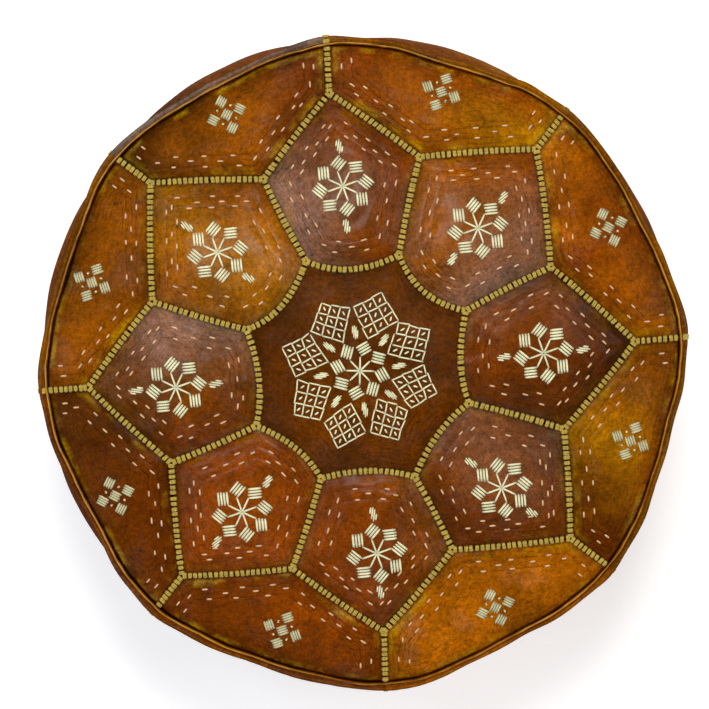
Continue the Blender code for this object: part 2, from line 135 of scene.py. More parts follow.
# Piping: a narrow fin of folded leather
PIPING_STEPS = 560
PIPING_SIDES = 10
FIN_HALF_WIDTH = 0.0011
FIN_HALF_HEIGHT = 0.0038
FIN_LIFT = 0.0006
FIN_TOP = WELT_HEIGHT + FIN_LIFT + FIN_HALF_HEIGHT
RIDGE_RADIUS = RIM_RADIUS - 0.0002
CROWN_EDGE = RIM_RADIUS - FIN_HALF_WIDTH - 0.0003
RIM_SINK = 0.0006
BASE_CORD_RADIUS = BASE_WELT_HIGH.x - 0.0030
BASE_CORD_HEIGHT = (BASE_WELT_LOW.z + BASE_WELT_HIGH.z) / 2 + 0.0004
BASE_CORD_HALF_WIDTH = 0.0028
BASE_CORD_HALF_HEIGHT = 0.0030

# How the side turns in under the piping: how far out from the ridge, and how far below its top
TURN_OVER = (
    (0.0010, 0.0027),
    (0.0020, 0.0035),
    (0.0030, 0.0027),
    (0.0042, 0.0030),
    (0.0051, 0.0044),
    (0.0056, 0.0064),
    (0.0055, 0.0088),
    (0.0051, 0.0114),
    (0.0046, 0.0140),
)
# A painted shade runs along the crease of the turned-over band, this far out and this wide
CREASE_OUT = 0.0020
CREASE_WIDTH = 0.0006
BLEND_LOW = 0.236
BLEND_HIGH = FIN_TOP - TURN_OVER[-1][1]
SIDE_HEM = SIDE_LOW - 0.001

# Base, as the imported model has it, and the liner inside it
DENT_HEIGHT = 0.0083
DENT_FLAT = (0.172, 0.016)
DENT_END = (0.202, 0.034)
ZIP_WINDOW = (0.160, 0.0060)
LINER_CLEARANCE = 0.0040
LINER_TURNS = 120
LINER_BASE = 0.0052
GROOVE_HEIGHT = 0.0125
GROOVE_FLAT = (0.176, 0.020)
GROOVE_END = (0.212, 0.047)

# Threads
BAR_PITCH = 0.0042
BAR_HALF_LENGTH = 0.0023
STRAND_GAP = 0.00092
SHOULDER = 0.0018
SILK_RADIUS = 0.00064
CREAM_RADIUS = 0.00090
GRID_RADIUS = CREAM_RADIUS * 0.70
RIM_BARS = (0, 2, 4)
RIM_BAR_PLACES = (-0.0012, 0.0026, 0.0066)
RUNNING_PITCH = 0.0250
RUNNING_LENGTH = 0.0042
RUNNING_RADIUS = 0.00076
TAPE_ROW = 0.0035
TAPE_PITCH = 0.0040
TAPE_THREAD = 0.00042
MOTIF_RADIUS = 0.1440
CROSS_RADIUS = 0.2205
BLOCK_TURN = math.radians(-9)
BLOCK_LEAN = math.radians(50)
THREAD_SIDES = 6
ODD_WAY = Vector((0.31, 0.17, 0.93))
OTHER_ODD_WAY = Vector((0.9, 0.1, 0.2))

# Dyes of the leather, in sRGB
DYES = {
    "umber": (99, 50, 16),
    "walnut": (70, 33, 6),
    "bark": (92, 43, 6),
    "cocoa": (112, 62, 22),
    # A purple-brown dye that also stands in for a painted sheen where the petals catch the cool light
    "plum_and_sheen": (122, 70, 40),
    # Not a dye: a painted grey-purple sheen, the cool light's reflection on the petals' slopes
    "grey_purple_sheen": (144, 102, 80),
    # Not a dye: a painted grey sheen, a reflection on the side's top
    "grey_sheen": (146, 122, 100),
    "mahogany": (110, 48, 2),
    "chestnut": (132, 59, 3),
    "russet": (144, 80, 30),
    "tan": (156, 97, 26),
    "gold": (170, 92, 0),
    "honey": (172, 110, 2),
    "amber": (142, 74, 0),
}
# A painted highlight: the pale colour of light caught on the raised roll beside the seams
SEAM_GLINT = (206, 164, 44)
# Each panel's dyes: at its left side, middle, right side and outer end
STAR_DYES = ("umber", "bark", "umber", "umber")
# Where a petal's side takes one of the sheen dyes above, its colour holds a painted sheen
PETAL_DYES = (
    ("plum_and_sheen", "mahogany", "bark", "walnut"),
    ("russet", "russet", "grey_purple_sheen", "chestnut"),
    ("grey_purple_sheen", "plum_and_sheen", "chestnut", "chestnut"),
    ("amber", "tan", "amber", "tan"),
    ("mahogany", "cocoa", "grey_purple_sheen", "cocoa"),
    ("chestnut", "chestnut", "chestnut", "chestnut"),
    ("russet", "chestnut", "chestnut", "mahogany"),
    ("plum_and_sheen", "plum_and_sheen", "mahogany", "mahogany"),
)
CROWN_DYES = (
    ("gold", "chestnut", "gold", "mahogany"),
    ("chestnut", "amber", "honey", "chestnut"),
    ("walnut", "amber", "mahogany", "walnut"),
    ("amber", "amber", "amber", "cocoa"),
    ("mahogany", "mahogany", "bark", "cocoa"),
    ("chestnut", "mahogany", "mahogany", "bark"),
    ("gold", "gold", "gold", "gold"),
    ("amber", "honey", "mahogany", "chestnut"),
)
# The third side panel's top takes the grey sheen above: a painted reflection
SIDE_TOP_DYES = ("tan", "tan", "grey_sheen", "tan", "russet", "russet", "gold", "tan")
SIDE_DYES = tuple((*dyes[:3], rim) for dyes, rim in zip(CROWN_DYES, SIDE_TOP_DYES))
BASE_DYES = ("walnut", "umber", "walnut", "walnut")

# Each kind of panel's dyes, coat, gloss and share of a painted highlight in patches beside its seams
PANEL_LOOKS = {
    "petal": (PETAL_DYES, 0.10, 0.13, 0.15),
    "crown": (CROWN_DYES, 0.02, 0.13, 0.55),
    "side": (SIDE_DYES, 0.04, 0.0, 0.0),
}
# The piping's colours, in sRGB: painted shade under it and in its creases, its own colour between, and on
# its ridge a worn colour lightened as a painted highlight
PIPING_COLOURS = ((74, 36, 6), (140, 78, 8), (196, 138, 52))

# Each silk's lit and shaded colour, in sRGB, painted on the crowns and in the grooves of its plies, and its
# sheen
SILK_LOOKS = {
    "seam_silk": ((226, 196, 78), (160, 128, 26), 0.2),
    "cream_silk": ((255, 252, 212), (226, 222, 164), 0.4),
    "running_silk": ((246, 206, 160), (210, 156, 104), 0.3),
    "tape_thread": ((176, 136, 84), (112, 80, 44), 0.1),
    "raw_silk": ((240, 234, 188), (160, 150, 92), 0.4),
}

# Tones laid over a dye, from broad clouds to pores, then dark specks: a noise's scale, the tone at
# the low and high end of a range of it, that range, and its detail, roughness and distortion
TONES = (
    (6.5, 0.80, 1.14, (0.36, 0.64), 3.0, 0.55, 0.0),
    (17.0, 0.56, 1.20, (0.30, 0.70), 6.0, 0.62, 0.8),
    (75.0, 0.66, 1.22, (0.28, 0.72), 7.0, 0.72, 0.5),
    (290.0, 0.64, 1.34, (0.32, 0.68), 5.0, 0.70, 0.0),
    (650.0, 0.72, 1.16, (0.35, 0.64), 4.0, 0.70, 0.0),
    (210.0, 1.00, 0.50, (0.58, 0.68), 4.0, 0.75, 0.0),
)

# Stage
VIEW_DISTANCE = 2.0
VIEW_TILT = math.radians(1.7)
VIEW_LEAN = math.radians(100)
VIEW_TURN = math.radians(-5.3)
LENS = 128.6
FRAME_SHIFT = 0.0055
FLOOR_HALF = 9.0
# Each light's name, azimuth, elevation, distance, size, power and colour
LIGHTS = (
    ("top_softbox", 85, 52, 2.4, 1.0, 13.0, (1.0, 0.98, 0.96)),
    ("left_softbox", 190, 48, 2.4, 1.0, 8.0, (0.96, 0.98, 1.0)),
    ("right_softbox", 5, 48, 2.4, 1.0, 11.0, (1.0, 0.99, 0.97)),
    ("low_softbox", 265, 48, 2.4, 1.0, 6.0, (1.0, 0.99, 0.97)),
    ("overhead", 85, 72, 2.4, 0.35, 15.0, (1.0, 0.99, 0.98)),
    ("glint", 150, 64, 2.2, 0.45, 9.0, (0.80, 0.86, 1.0)),
)


# ---------------- paths and steps


def polar(radius, angle, centre=Vector((0.0, 0.0))):
    """The plan point at a radius and an angle round a centre."""
    return centre + Vector((math.cos(angle), math.sin(angle))) * radius


def outward(angle):
    """The level direction away from the pouf's middle."""
    return Vector((math.cos(angle), math.sin(angle), 0.0))


def smooth(t):
    """A smooth step from 0 to 1."""
    t = min(max(t, 0.0), 1.0)
    return t * t * (3 - 2 * t)


def hump(distance, width):
    """A smooth hump, 1 high at distance 0 and almost gone at twice its width."""
    return np.exp(-((distance / width) ** 2))


def offset_path(points, distance, closed=False):
    """Moves a plan path to the left of its direction, with mitred corners."""
    count = len(points)
    moved = []
    for i, here in enumerate(points):
        ends = []
        if closed or i > 0:
            ends.append((points[i - 1], here))
        if closed or i < count - 1:
            ends.append((here, points[(i + 1) % count]))
        normals = [Vector((a.y - b.y, b.x - a.x)).normalized() for a, b in ends]
        middle = sum(normals, Vector((0.0, 0.0))) / len(normals)
        moved.append(here + middle * (distance / middle.length_squared))
    return moved


def walk(points, step, start=0.0):
    """Places along a path every step: (point, direction)."""
    places = []
    target = start
    travelled = 0.0
    for a, b in zip(points, points[1:]):
        length = (b - a).length
        while target <= travelled + length and length > 0:
            places.append((a.lerp(b, (target - travelled) / length), (b - a) / length))
            target += step
        travelled += length
    return places


def path_length(points):
    """Length of a path."""
    return sum((b - a).length for a, b in zip(points, points[1:]))


def even_path(points, step):
    """The same path with evenly spaced points."""
    length = path_length(points)
    count = max(2, round(length / step))
    places = walk(points, length / count * 0.999999)
    return [p for p, _ in places[:count]] + [points[-1]]


def grid_faces(rows, columns, closed=False, looped=False):
    """Faces over rows of points. Closed joins each row's ends, looped the last row and the first."""
    faces = []
    for j in range(rows if looped else rows - 1):
        a, b = j * columns, (j + 1) % rows * columns
        for i in range(columns if closed else columns - 1):
            after = (i + 1) % columns
            faces.append((a + i, a + after, b + after, b + i))
    return faces


# ---------------- plan of the top


def corners(mean, off_mm, off_deg, turn):
    """Eight hand-cut corners round the star's centre."""
    points = []
    for k in range(PANELS):
        angle = (k + turn) * PITCH + math.radians(off_deg[k])
        points.append(polar(mean + off_mm[k] / 1000, angle, STAR_CENTRE))
    return points


STAR_CORNERS = corners(STAR_RADIUS, STAR_OFF_MM, STAR_OFF_DEG, 0.5)
VALLEYS = corners(VALLEY_RADIUS, VALLEY_OFF_MM, VALLEY_OFF_DEG, 0.5)
TIPS = corners(TIP_RADIUS, TIP_OFF_MM, TIP_OFF_DEG, 0.0)
RIM_ANGLES = [k * PITCH + math.radians(RIM_OFF_DEG[k]) for k in range(PANELS)]


def panel_angles(k):
    """The angles of radial seams k and k + 1."""
    turned = math.tau if k == PANELS - 1 else 0.0
    return RIM_ANGLES[k], RIM_ANGLES[(k + 1) % PANELS] + turned


def rim_wave(angle):
    """How far the rim is from a circle: it is drawn out a little at each radial seam."""
    seams = 0.0034 * math.cos(PANELS * angle)
    lean = 0.0009 * math.cos(angle) - 0.0022 * math.sin(angle) - 0.0012 * math.cos(2 * angle) - 0.0014
    hand = 0.0006 * math.sin(3 * angle + 1.0) + 0.0004 * math.sin(13 * angle + 2.0)
    return seams + lean + hand + 0.0003 * math.sin(29 * angle)


def star_side(k):
    """The hollow side of the star along petal k, from corner k - 1 to corner k."""
    start = STAR_CORNERS[k - 1]
    end = STAR_CORNERS[k]
    waist = polar(STAR_WAIST, k * PITCH, STAR_CENTRE)
    pull = waist * 2 - (start + end) / 2
    points = []
    for i in range(CURVE_STEPS + 1):
        t = i / CURVE_STEPS
        points.append(start * (1 - t) ** 2 + pull * (2 * t * (1 - t)) + end * t**2)
    return points


def bowed(start, end, bow):
    """A seam from start to end that bows a little to its left."""
    across = Vector((start.y - end.y, end.x - start.x))
    shares = [i / CURVE_STEPS for i in range(CURVE_STEPS + 1)]
    return [start.lerp(end, t) + across * (bow * math.sin(math.pi * t)) for t in shares]


def rim_arc(k, step):
    """The crown's outer edge from radial seam k to seam k + 1."""
    first, last = panel_angles(k)
    count = max(2, round((last - first) * CROWN_EDGE / step))
    angles = [first + (last - first) * i / count for i in range(count + 1)]
    return [polar(CROWN_EDGE + rim_wave(a), a) for a in angles]


def seams_of_top(step):
    """Every seam of the top as an evenly divided path, shared by the panels on both sides."""
    seams = {}
    for k in range(PANELS):
        rim = polar(CROWN_EDGE + rim_wave(RIM_ANGLES[k]), RIM_ANGLES[k])
        seams["star", k] = even_path(star_side(k), step)
        seams["petal", k] = even_path(bowed(STAR_CORNERS[k], VALLEYS[k], PETAL_BOW), step)
        seams["up", k] = even_path(bowed(VALLEYS[k - 1], TIPS[k], CROWN_BOW), step)
        seams["down", k] = even_path(bowed(TIPS[k], VALLEYS[k], CROWN_BOW), step)
        seams["radial", k] = even_path(bowed(TIPS[k], rim, 0.0), step)
        seams["rim", k] = rim_arc(k, step)
    return seams


def petal_sides(seams, k):
    """A petal's five sides, counter-clockwise."""
    inner = [seams["petal", k][::-1], seams["star", k][::-1], seams["petal", (k - 1) % PANELS]]
    return [seams["up", k], seams["down", k], *inner]


def crown_sides(seams, k):
    """A crown panel's four sewn sides, from rim to rim."""
    after = (k + 1) % PANELS
    first = [seams["radial", after][::-1], seams["up", after][::-1]]
    return [*first, seams["down", k][::-1], seams["radial", k]]


def joined(sides):
    """One path along several sides, without the last side's end."""
    return [p for side in sides for p in side[:-1]]


def outlines_of_top(seams):
    """The closed outline of every top panel, counter-clockwise."""
    outlines = {"star_panel": joined(seams["star", k] for k in range(PANELS))}
    for k in range(PANELS):
        sewn = crown_sides(seams, k)
        outlines[f"petal_panel_{k + 1}"] = joined(petal_sides(seams, k))
        outlines[f"crown_panel_{k + 1}"] = joined([sewn[3], seams["rim", k], *sewn[:3]])
    return outlines


# ---------------- meshing in plan


def nearest(points, path, closed=True):
    """Each point's distance to a path, and how far along the path its nearest place is."""
    line = np.array(path, float)
    ends = np.roll(line, -1, axis=0) if closed else line[1:]
    starts = line if closed else line[:-1]
    best = np.full(len(points), np.inf)
    along_path = np.zeros(len(points))
    travelled = 0.0
    for a, b in zip(starts, ends):
        along = b - a
        length = float(np.linalg.norm(along))
        if length == 0.0:
            continue
        t = np.clip(((points - a) @ along) / length**2, 0, 1)
        gap = np.linalg.norm(points - (a + t[:, None] * along), axis=1)
        closer = gap < best
        best[closer] = gap[closer]
        along_path[closer] = travelled + t[closer] * length
        travelled += length
    return best, along_path


def inside(points, outline):
    """Which points lie inside an outline."""
    line = np.array(outline, float)
    hit = np.zeros(len(points), bool)
    x, y = points[:, 0], points[:, 1]
    for a, b in zip(line, np.roll(line, -1, axis=0)):
        if a[1] != b[1]:
            crosses = (a[1] > y) != (b[1] > y)
            hit ^= crosses & (x < (b[0] - a[0]) * (y - a[1]) / (b[1] - a[1]) + a[0])
    return hit


def lattice(outline, step, clear):
    """A triangular lattice of points inside an outline and clear of it."""
    line = np.array(outline, float)
    low, high = line.min(0), line.max(0)
    rows = range(int((high[1] - low[1]) / (step * 0.866)) + 2)
    columns = range(int((high[0] - low[0]) / step) + 2)
    points = np.array(
        [(low[0] + (i + 0.5 * (j % 2)) * step, low[1] + j * step * 0.866) for j in rows for i in columns]
    )
    points = points[inside(points, outline)]
    return points[nearest(points, outline)[0] > clear]


def spread(loose, fixed, gap):
    """Loose points that keep a gap from the fixed ones and from each other, taken in order."""
    cells = {}
    kept = []

    def cell(p):
        return math.floor(p[0] / gap), math.floor(p[1] / gap)

    def crowded(p):
        cx, cy = cell(p)
        near = [(cx + i, cy + j) for i in (-1, 0, 1) for j in (-1, 0, 1)]
        around = (q for key in near for q in cells.get(key, ()))
        return any((p[0] - q[0]) ** 2 + (p[1] - q[1]) ** 2 < gap * gap for q in around)

    for p in fixed:
        cells.setdefault(cell(p), []).append(p)
    for p in loose:
        if not crowded(p):
            cells.setdefault(cell(p), []).append(p)
            kept.append(p)
    return kept


def triangulate(outline, loose):
    """Triangles that fill an outline and use the loose points inside it."""
    count = len(outline)
    points = [Vector((p[0], p[1])) for p in [*outline, *loose]]
    edges = [(i, (i + 1) % count) for i in range(count)]
    verts, _, faces, _, _, _ = delaunay_2d_cdt(points, edges, [list(range(count))], 1, 1e-7)
    flat = np.array([(v.x, v.y) for v in verts])
    wound = []
    for face in faces:
        a, b, c = (flat[i] for i in face[:3])
        area = (b[0] - a[0]) * (c[1] - a[1]) - (b[1] - a[1]) * (c[0] - a[0])
        wound.append(tuple(face) if area > 0 else tuple(face)[::-1])
    return flat, wound


def tidy_row(path, distance, closed, outline):
    """Points along a path moved inwards, without the ones that cross over at its corners."""
    moved = np.array([tuple(p) for p in offset_path(path, distance, closed)])
    clear = nearest(moved, path, closed)[0] > distance * 0.97
    return moved[clear & inside(moved, outline)]


def panel_points(outline, sewn, closed, stitch_rows):
    """Points inside a panel: along its tooled lines, along its rolled edge, and a field between."""
    tooled = []
    for distance in stitch_rows[::2]:
        for shift in (0.0, -TOOL_HALF_WIDTH, TOOL_HALF_WIDTH):
            tooled += list(tidy_row(sewn, distance + shift, closed, outline))
    if tooled:
        tooled = np.array(tooled)
        tooled = list(tooled[nearest(tooled, outline)[0] > TOOL_CLEARANCE])
    edge = [p for distance in ROLL_ROWS for p in tidy_row(outline, distance, True, outline)]
    kept = spread(tooled, [], TOOL_HALF_WIDTH * 0.8)
    kept += spread(edge, kept, EDGE_SPACING)
    middle = lattice(outline, FIELD_STEP, ROLL_ROWS[-1] + 0.001)
    return kept + spread(middle, kept, EDGE_SPACING * 2)


# ---------------- the stuffed surface


def dome_height(radius):
    """Height of the top before it is stuffed."""
    return TOP - DOME_DROP - DOME_RISE * (radius / RIM_RADIUS) ** 2


def side_radius(height):
    """Radius of the side at a height."""
    middle = (SIDE_HIGH + SIDE_LOW) / 2
    share = min(abs(height - middle) / (SIDE_HIGH - middle), 1.0)
    return BULGE_RADIUS - (BULGE_RADIUS - RIM_RADIUS) * share**SIDE_CURVE


def new_mesh_object(name, verts, faces):
    """A smooth-shaded object from vertices and faces."""
    mesh = bpy.data.meshes.new(name)
    mesh.from_pydata([tuple(v) for v in verts], [], faces)
    mesh.shade_smooth()
    obj = bpy.data.objects.new(name, mesh)
    bpy.context.scene.collection.objects.link(obj)
    return obj


def evaluated(obj):
    """The object with its modifiers applied."""
    return obj.evaluated_get(bpy.context.evaluated_depsgraph_get())


def seam_net():
    """The top as one coarse triangle mesh: vertices, faces, and which vertices lie on seams."""
    verts, faces, fixed, index = [], [], [], {}
    for outline in outlines_of_top(seams_of_top(NET_STEP)).values():
        loose = lattice(outline, NET_STEP, NET_STEP * 0.6)
        flat, tris = triangulate(outline, loose)
        ids = []
        for i, (x, y) in enumerate(flat):
            key = (round(x * 1e5), round(y * 1e5))
            if key not in index:
                index[key] = len(verts)
                verts.append((x, y, dome_height(math.hypot(x, y))))
                fixed.append(i < len(outline))
            ids.append(index[key])
        faces += [tuple(ids[i] for i in tri) for tri in tris]
    return verts, faces, fixed


def inflate(start, faces, fixed, pressure):
    """Blows a net up between its fixed seams with a cloth simulation; gives the new vertices."""
    net = new_mesh_object("seam_net", start, faces)
    pins = net.vertex_groups.new(name="seams")
    pins.add([i for i, pinned in enumerate(fixed) if pinned], 1.0, "REPLACE")
    cloth = net.modifiers.new("stuffing", "CLOTH")
    for key, value in CLOTH_SETTINGS.items():
        setattr(cloth.settings, key, value)
    cloth.settings.vertex_group_mass = "seams"
    cloth.settings.use_pressure = True
    cloth.settings.uniform_pressure_force = pressure
    cloth.settings.effector_weights.gravity = 0.0
    cloth.collision_settings.use_collision = False
    cloth.point_cache.frame_start = 1
    cloth.point_cache.frame_end = CLOTH_FRAMES
    for number in range(1, CLOTH_FRAMES + 1):
        bpy.context.scene.frame_set(number)
    result = [tuple(v.co) for v in evaluated(net).data.vertices]
    bpy.data.objects.remove(net, do_unlink=True)
    bpy.context.scene.frame_set(1)
    return result


def smooth_heights(verts, faces, fixed):
    """Evens out the heights of the free vertices a little."""
    heights = np.array([v[2] for v in verts])
    links = set()
    for face in faces:
        for a, b in zip(face, face[1:] + face[:1]):
            links.add((min(a, b), max(a, b)))
    pairs = np.array(sorted(links))
    total = np.zeros(len(heights))
    count = np.zeros(len(heights))
    for a, b in ((0, 1), (1, 0)):
        np.add.at(total, pairs[:, a], heights[pairs[:, b]])
        np.add.at(count, pairs[:, a], 1)
    evened = 0.5 * heights + 0.5 * total / np.maximum(count, 1)
    heights = np.where(fixed, heights, evened)
    return [(x, y, h) for (x, y, _), h in zip(verts, heights)]


def smooth_tree(verts, faces):
    """A net as a finely subdivided tree, for casting rays onto."""
    net = new_mesh_object("smooth_net", verts, faces)
    subdivision = net.modifiers.new("smooth", "SUBSURF")
    subdivision.levels = 2
    mesh = evaluated(net).data
    points = [v.co.copy() for v in mesh.vertices]
    polygons = [tuple(p.vertices) for p in mesh.polygons]
    bpy.data.objects.remove(net, do_unlink=True)
    return BVHTree.FromPolygons(points, polygons)


def stuffed_top():
    """The stuffed surface of the top."""
    verts, faces, fixed = seam_net()
    start = []
    for (x, y, z), pinned in zip(verts, fixed):
        sink = RIM_SINK if math.hypot(x, y) > RIM_RADIUS - 0.008 else SEAM_SINK
        start.append((x, y, z - sink if pinned else z))
    moved = inflate(start, faces, fixed, TOP_PRESSURE)
    return smooth_tree(smooth_heights(moved, faces, fixed), faces)


def side_net():
    """The side as a coarse net: angles and heights, faces, and which points are sewn."""
    rows = max(2, round((SIDE_HIGH - SIDE_LOW) / SIDE_NET_STEP))
    turns, on_seam = [], []
    for k in range(PANELS):
        first, last = panel_angles(k)
        count = round((last - first) * BULGE_RADIUS / SIDE_NET_STEP)
        turns += [first + (last - first) * i / count for i in range(count)]
        on_seam += [i == 0 for i in range(count)]
    places, fixed = [], []
    for j in range(rows + 1):
        height = SIDE_LOW + (SIDE_HIGH - SIDE_LOW) * j / rows
        places += [(turn, height) for turn in turns]
        fixed += [sewn or j in (0, rows) for sewn in on_seam]
    return places, grid_faces(rows + 1, len(turns), closed=True), fixed


def stuffed_side():
    """The stuffed surface of the side."""
    places, faces, fixed = side_net()
    start = []
    for (turn, height), pinned in zip(places, fixed):
        radius = side_radius(height)
        if SIDE_LOW + 1e-4 < height < SIDE_HIGH - 1e-4:
            radius -= SIDE_SLACK + (SIDE_SEAM_SINK if pinned else 0.0)
        start.append((radius * math.cos(turn), radius * math.sin(turn), height))
    moved = inflate(start, faces, fixed, SIDE_PRESSURE)
    return smooth_tree(moved, faces)


TOP_TREE = stuffed_top()
SIDE_TREE = stuffed_side()


def top_height(x, y):
    """Height of the stuffed top at a plan point."""
    hit = TOP_TREE.ray_cast(Vector((x, y, 1.0)), DOWN)[0]
    return hit.z if hit else dome_height(math.hypot(x, y)) - SEAM_SINK


def ridge_radius(angle):
    """Where the ridge of the top piping runs."""
    return RIDGE_RADIUS + rim_wave(angle)


def side_surface(angle, height):
    """Radius of the stuffed side: it follows the waves of the rim near its top."""
    level = min(max(height, SIDE_LOW + SIDE_MARGIN), SIDE_HIGH - SIDE_MARGIN)
    hit = SIDE_TREE.ray_cast(Vector((0, 0, level)), outward(angle))[0]
    radius = math.hypot(hit.x, hit.y) if hit else side_radius(level)
    middle = math.sin(math.pi * (level - SIDE_LOW) / (SIDE_HIGH - SIDE_LOW))
    radius -= SIDE_FLATTENING * middle * math.cos(angle) ** 2
    share = smooth((height - BLEND_LOW) / (BLEND_HIGH - BLEND_LOW))
    return radius + (ridge_radius(angle) + TURN_OVER[-1][0] - radius) * share


# ---------------- leather pieces

COVER = {"verts": [], "faces": []}


def to_cover(verts, faces):
    """Adds a finished outer surface to the cover that threads are laid on."""
    first = len(COVER["verts"])
    COVER["verts"] += [Vector(v) for v in verts]
    COVER["faces"] += [tuple(first + i for i in face) for face in faces]


def set_attribute(mesh, name, values):
    """Stores one number per vertex for the materials to read."""
    layer = mesh.attributes.new(name, "FLOAT", "POINT")
    layer.data.foreach_set("value", np.asarray(values, np.float32))


def leather_piece(name, verts, faces, edge_gap, tooled, out, across):
    """A panel of leather: the surface, thickened inwards, with the fields its material reads."""
    piece = new_mesh_object(name, verts, faces)
    set_attribute(piece.data, "edge_gap", edge_gap * 1000)
    set_attribute(piece.data, "tooled", tooled)
    set_attribute(piece.data, "outward", out)
    set_attribute(piece.data, "across", across)
    solid = piece.modifiers.new("thickness", "SOLIDIFY")
    solid.thickness = LEATHER
    solid.offset = -1.0
    mesh = bpy.data.meshes.new_from_object(evaluated(piece))
    piece.modifiers.clear()
    piece.data = mesh
    mesh.name = name
    to_cover(verts, faces)
    return piece


def rolled(gap):
    """How far the leather dips at a distance from its sewn edge: it rolls in, and the thread cuts in."""
    return ROLL_DEPTH * hump(gap, ROLL_WIDTH) + PULL_DEPTH * hump(gap - PULL_AT, PULL_WIDTH)


def rim_roll(gap, plan):
    """How far a crown panel dips beside the piping: a deep crease at the left, almost none at the right."""
    angles = np.arctan2(plan[:, 1], plan[:, 0])
    depth = 0.0002 + 0.0008 * (1 - np.cos(angles - 0.35)) + 0.0005 * np.sin(5 * angles + 1.0)
    return np.maximum(depth, 0.0) * hump(gap, 0.0017)


def puckers(along, gap, seed):
    """Small gathers that run across a seam and die out away from it."""
    rise = np.zeros(len(gap))
    for i, (s, d) in enumerate(zip(along, gap)):
        fine = noise.noise(Vector((s / 0.0075, d / 0.03, seed)))
        broad = noise.noise(Vector((s / 0.021, d / 0.03, seed + 5.0)))
        rise[i] = (0.0005 * fine + 0.0008 * broad) * math.exp(-d / 0.012)
    return rise * (1 - np.exp(-gap / 0.003))


def creases(points, seed):
    """Soft dents and folds that handling leaves in stuffed leather."""
    rise = np.zeros(len(points))
    for i, (x, y) in enumerate(points):
        dent = noise.noise(Vector((x / 0.035, y / 0.035, seed)))
        fold = noise.noise(Vector((x / 0.06, y / 0.028, seed + 9.0)))
        rise[i] = 0.0008 * dent - 0.0009 * hump(fold, 0.05)
    return rise


def make_panel(name, outline, sewn, closed, stitch_rows, axis, number):
    """One panel of the top, laid on the stuffed surface. A crown panel's sewn path stops at the rim."""
    edge = offset_path(outline, JOINT_HALF_GAP, True)
    flat, faces = triangulate(edge, panel_points(outline, sewn, closed, stitch_rows))
    gap, along = nearest(flat, outline)
    row_gap = nearest(flat, sewn, closed)[0]
    dip = rolled(row_gap)
    stain_and_crease_shade = gap
    if not closed:
        rim_gap = CROWN_EDGE + np.array([rim_wave(math.atan2(y, x)) for x, y in flat])
        rim_gap = np.maximum(rim_gap - np.hypot(flat[:, 0], flat[:, 1]), 0.0)
        roll = rim_roll(rim_gap, flat)
        dip = np.maximum(dip, roll)
        # Along the rim the edge is painted darker by the piping, most where the crease there is deep:
        # painted shade. Along the sewn seams it stays the edge's stain.
        stain_and_crease_shade = np.minimum(row_gap, 0.0016 + rim_gap * 1.2 - roll * 0.9)
    tool = np.zeros(len(flat))
    for distance in stitch_rows[::2]:
        tool = np.maximum(tool, 1 - np.abs(row_gap - distance) / TOOL_HALF_WIDTH)
    tool = np.where(gap > 0.004, np.clip(tool, 0, 1), 0)
    rise = puckers(along, gap, number * 3.1) + creases(flat, number * 1.7) - dip - TOOL_DEPTH * tool
    verts = [(x, y, top_height(x, y) + up) for (x, y), up in zip(flat, rise)]
    off = flat - flat.mean(0)
    out = off @ np.array((math.cos(axis), math.sin(axis)))
    across = off @ np.array((-math.sin(axis), math.cos(axis)))
    out, across = out / np.abs(out).max(), across / np.abs(across).max()
    return leather_piece(name, verts, faces, stain_and_crease_shade, tool, out, across)


def side_places(k):
    """The grid of a side panel: distances from its first seam, and rows (height, out, turned over)."""
    first, last = panel_angles(k)
    width = (last - first) * BULGE_RADIUS
    near = [JOINT_HALF_GAP, *ROLL_ROWS[:-1]]
    inner = np.linspace(ROLL_ROWS[-1], width - ROLL_ROWS[-1], round(width / FIELD_STEP))
    places = [*near, *inner, *[width - d for d in near[::-1]]]
    count = round((BLEND_HIGH - SIDE_HEM) / FIELD_STEP)
    heights = [SIDE_HEM + rise for rise in (0.0, 0.002, 0.0045)]
    heights += list(np.linspace(SIDE_HEM + 0.008, BLEND_HIGH - 0.003, count))
    rows = [(height, 0.0, 0) for height in heights]
    rows += [(FIN_TOP - drop, out, 1) for out, drop in TURN_OVER[::-1]]
    return width, places, rows


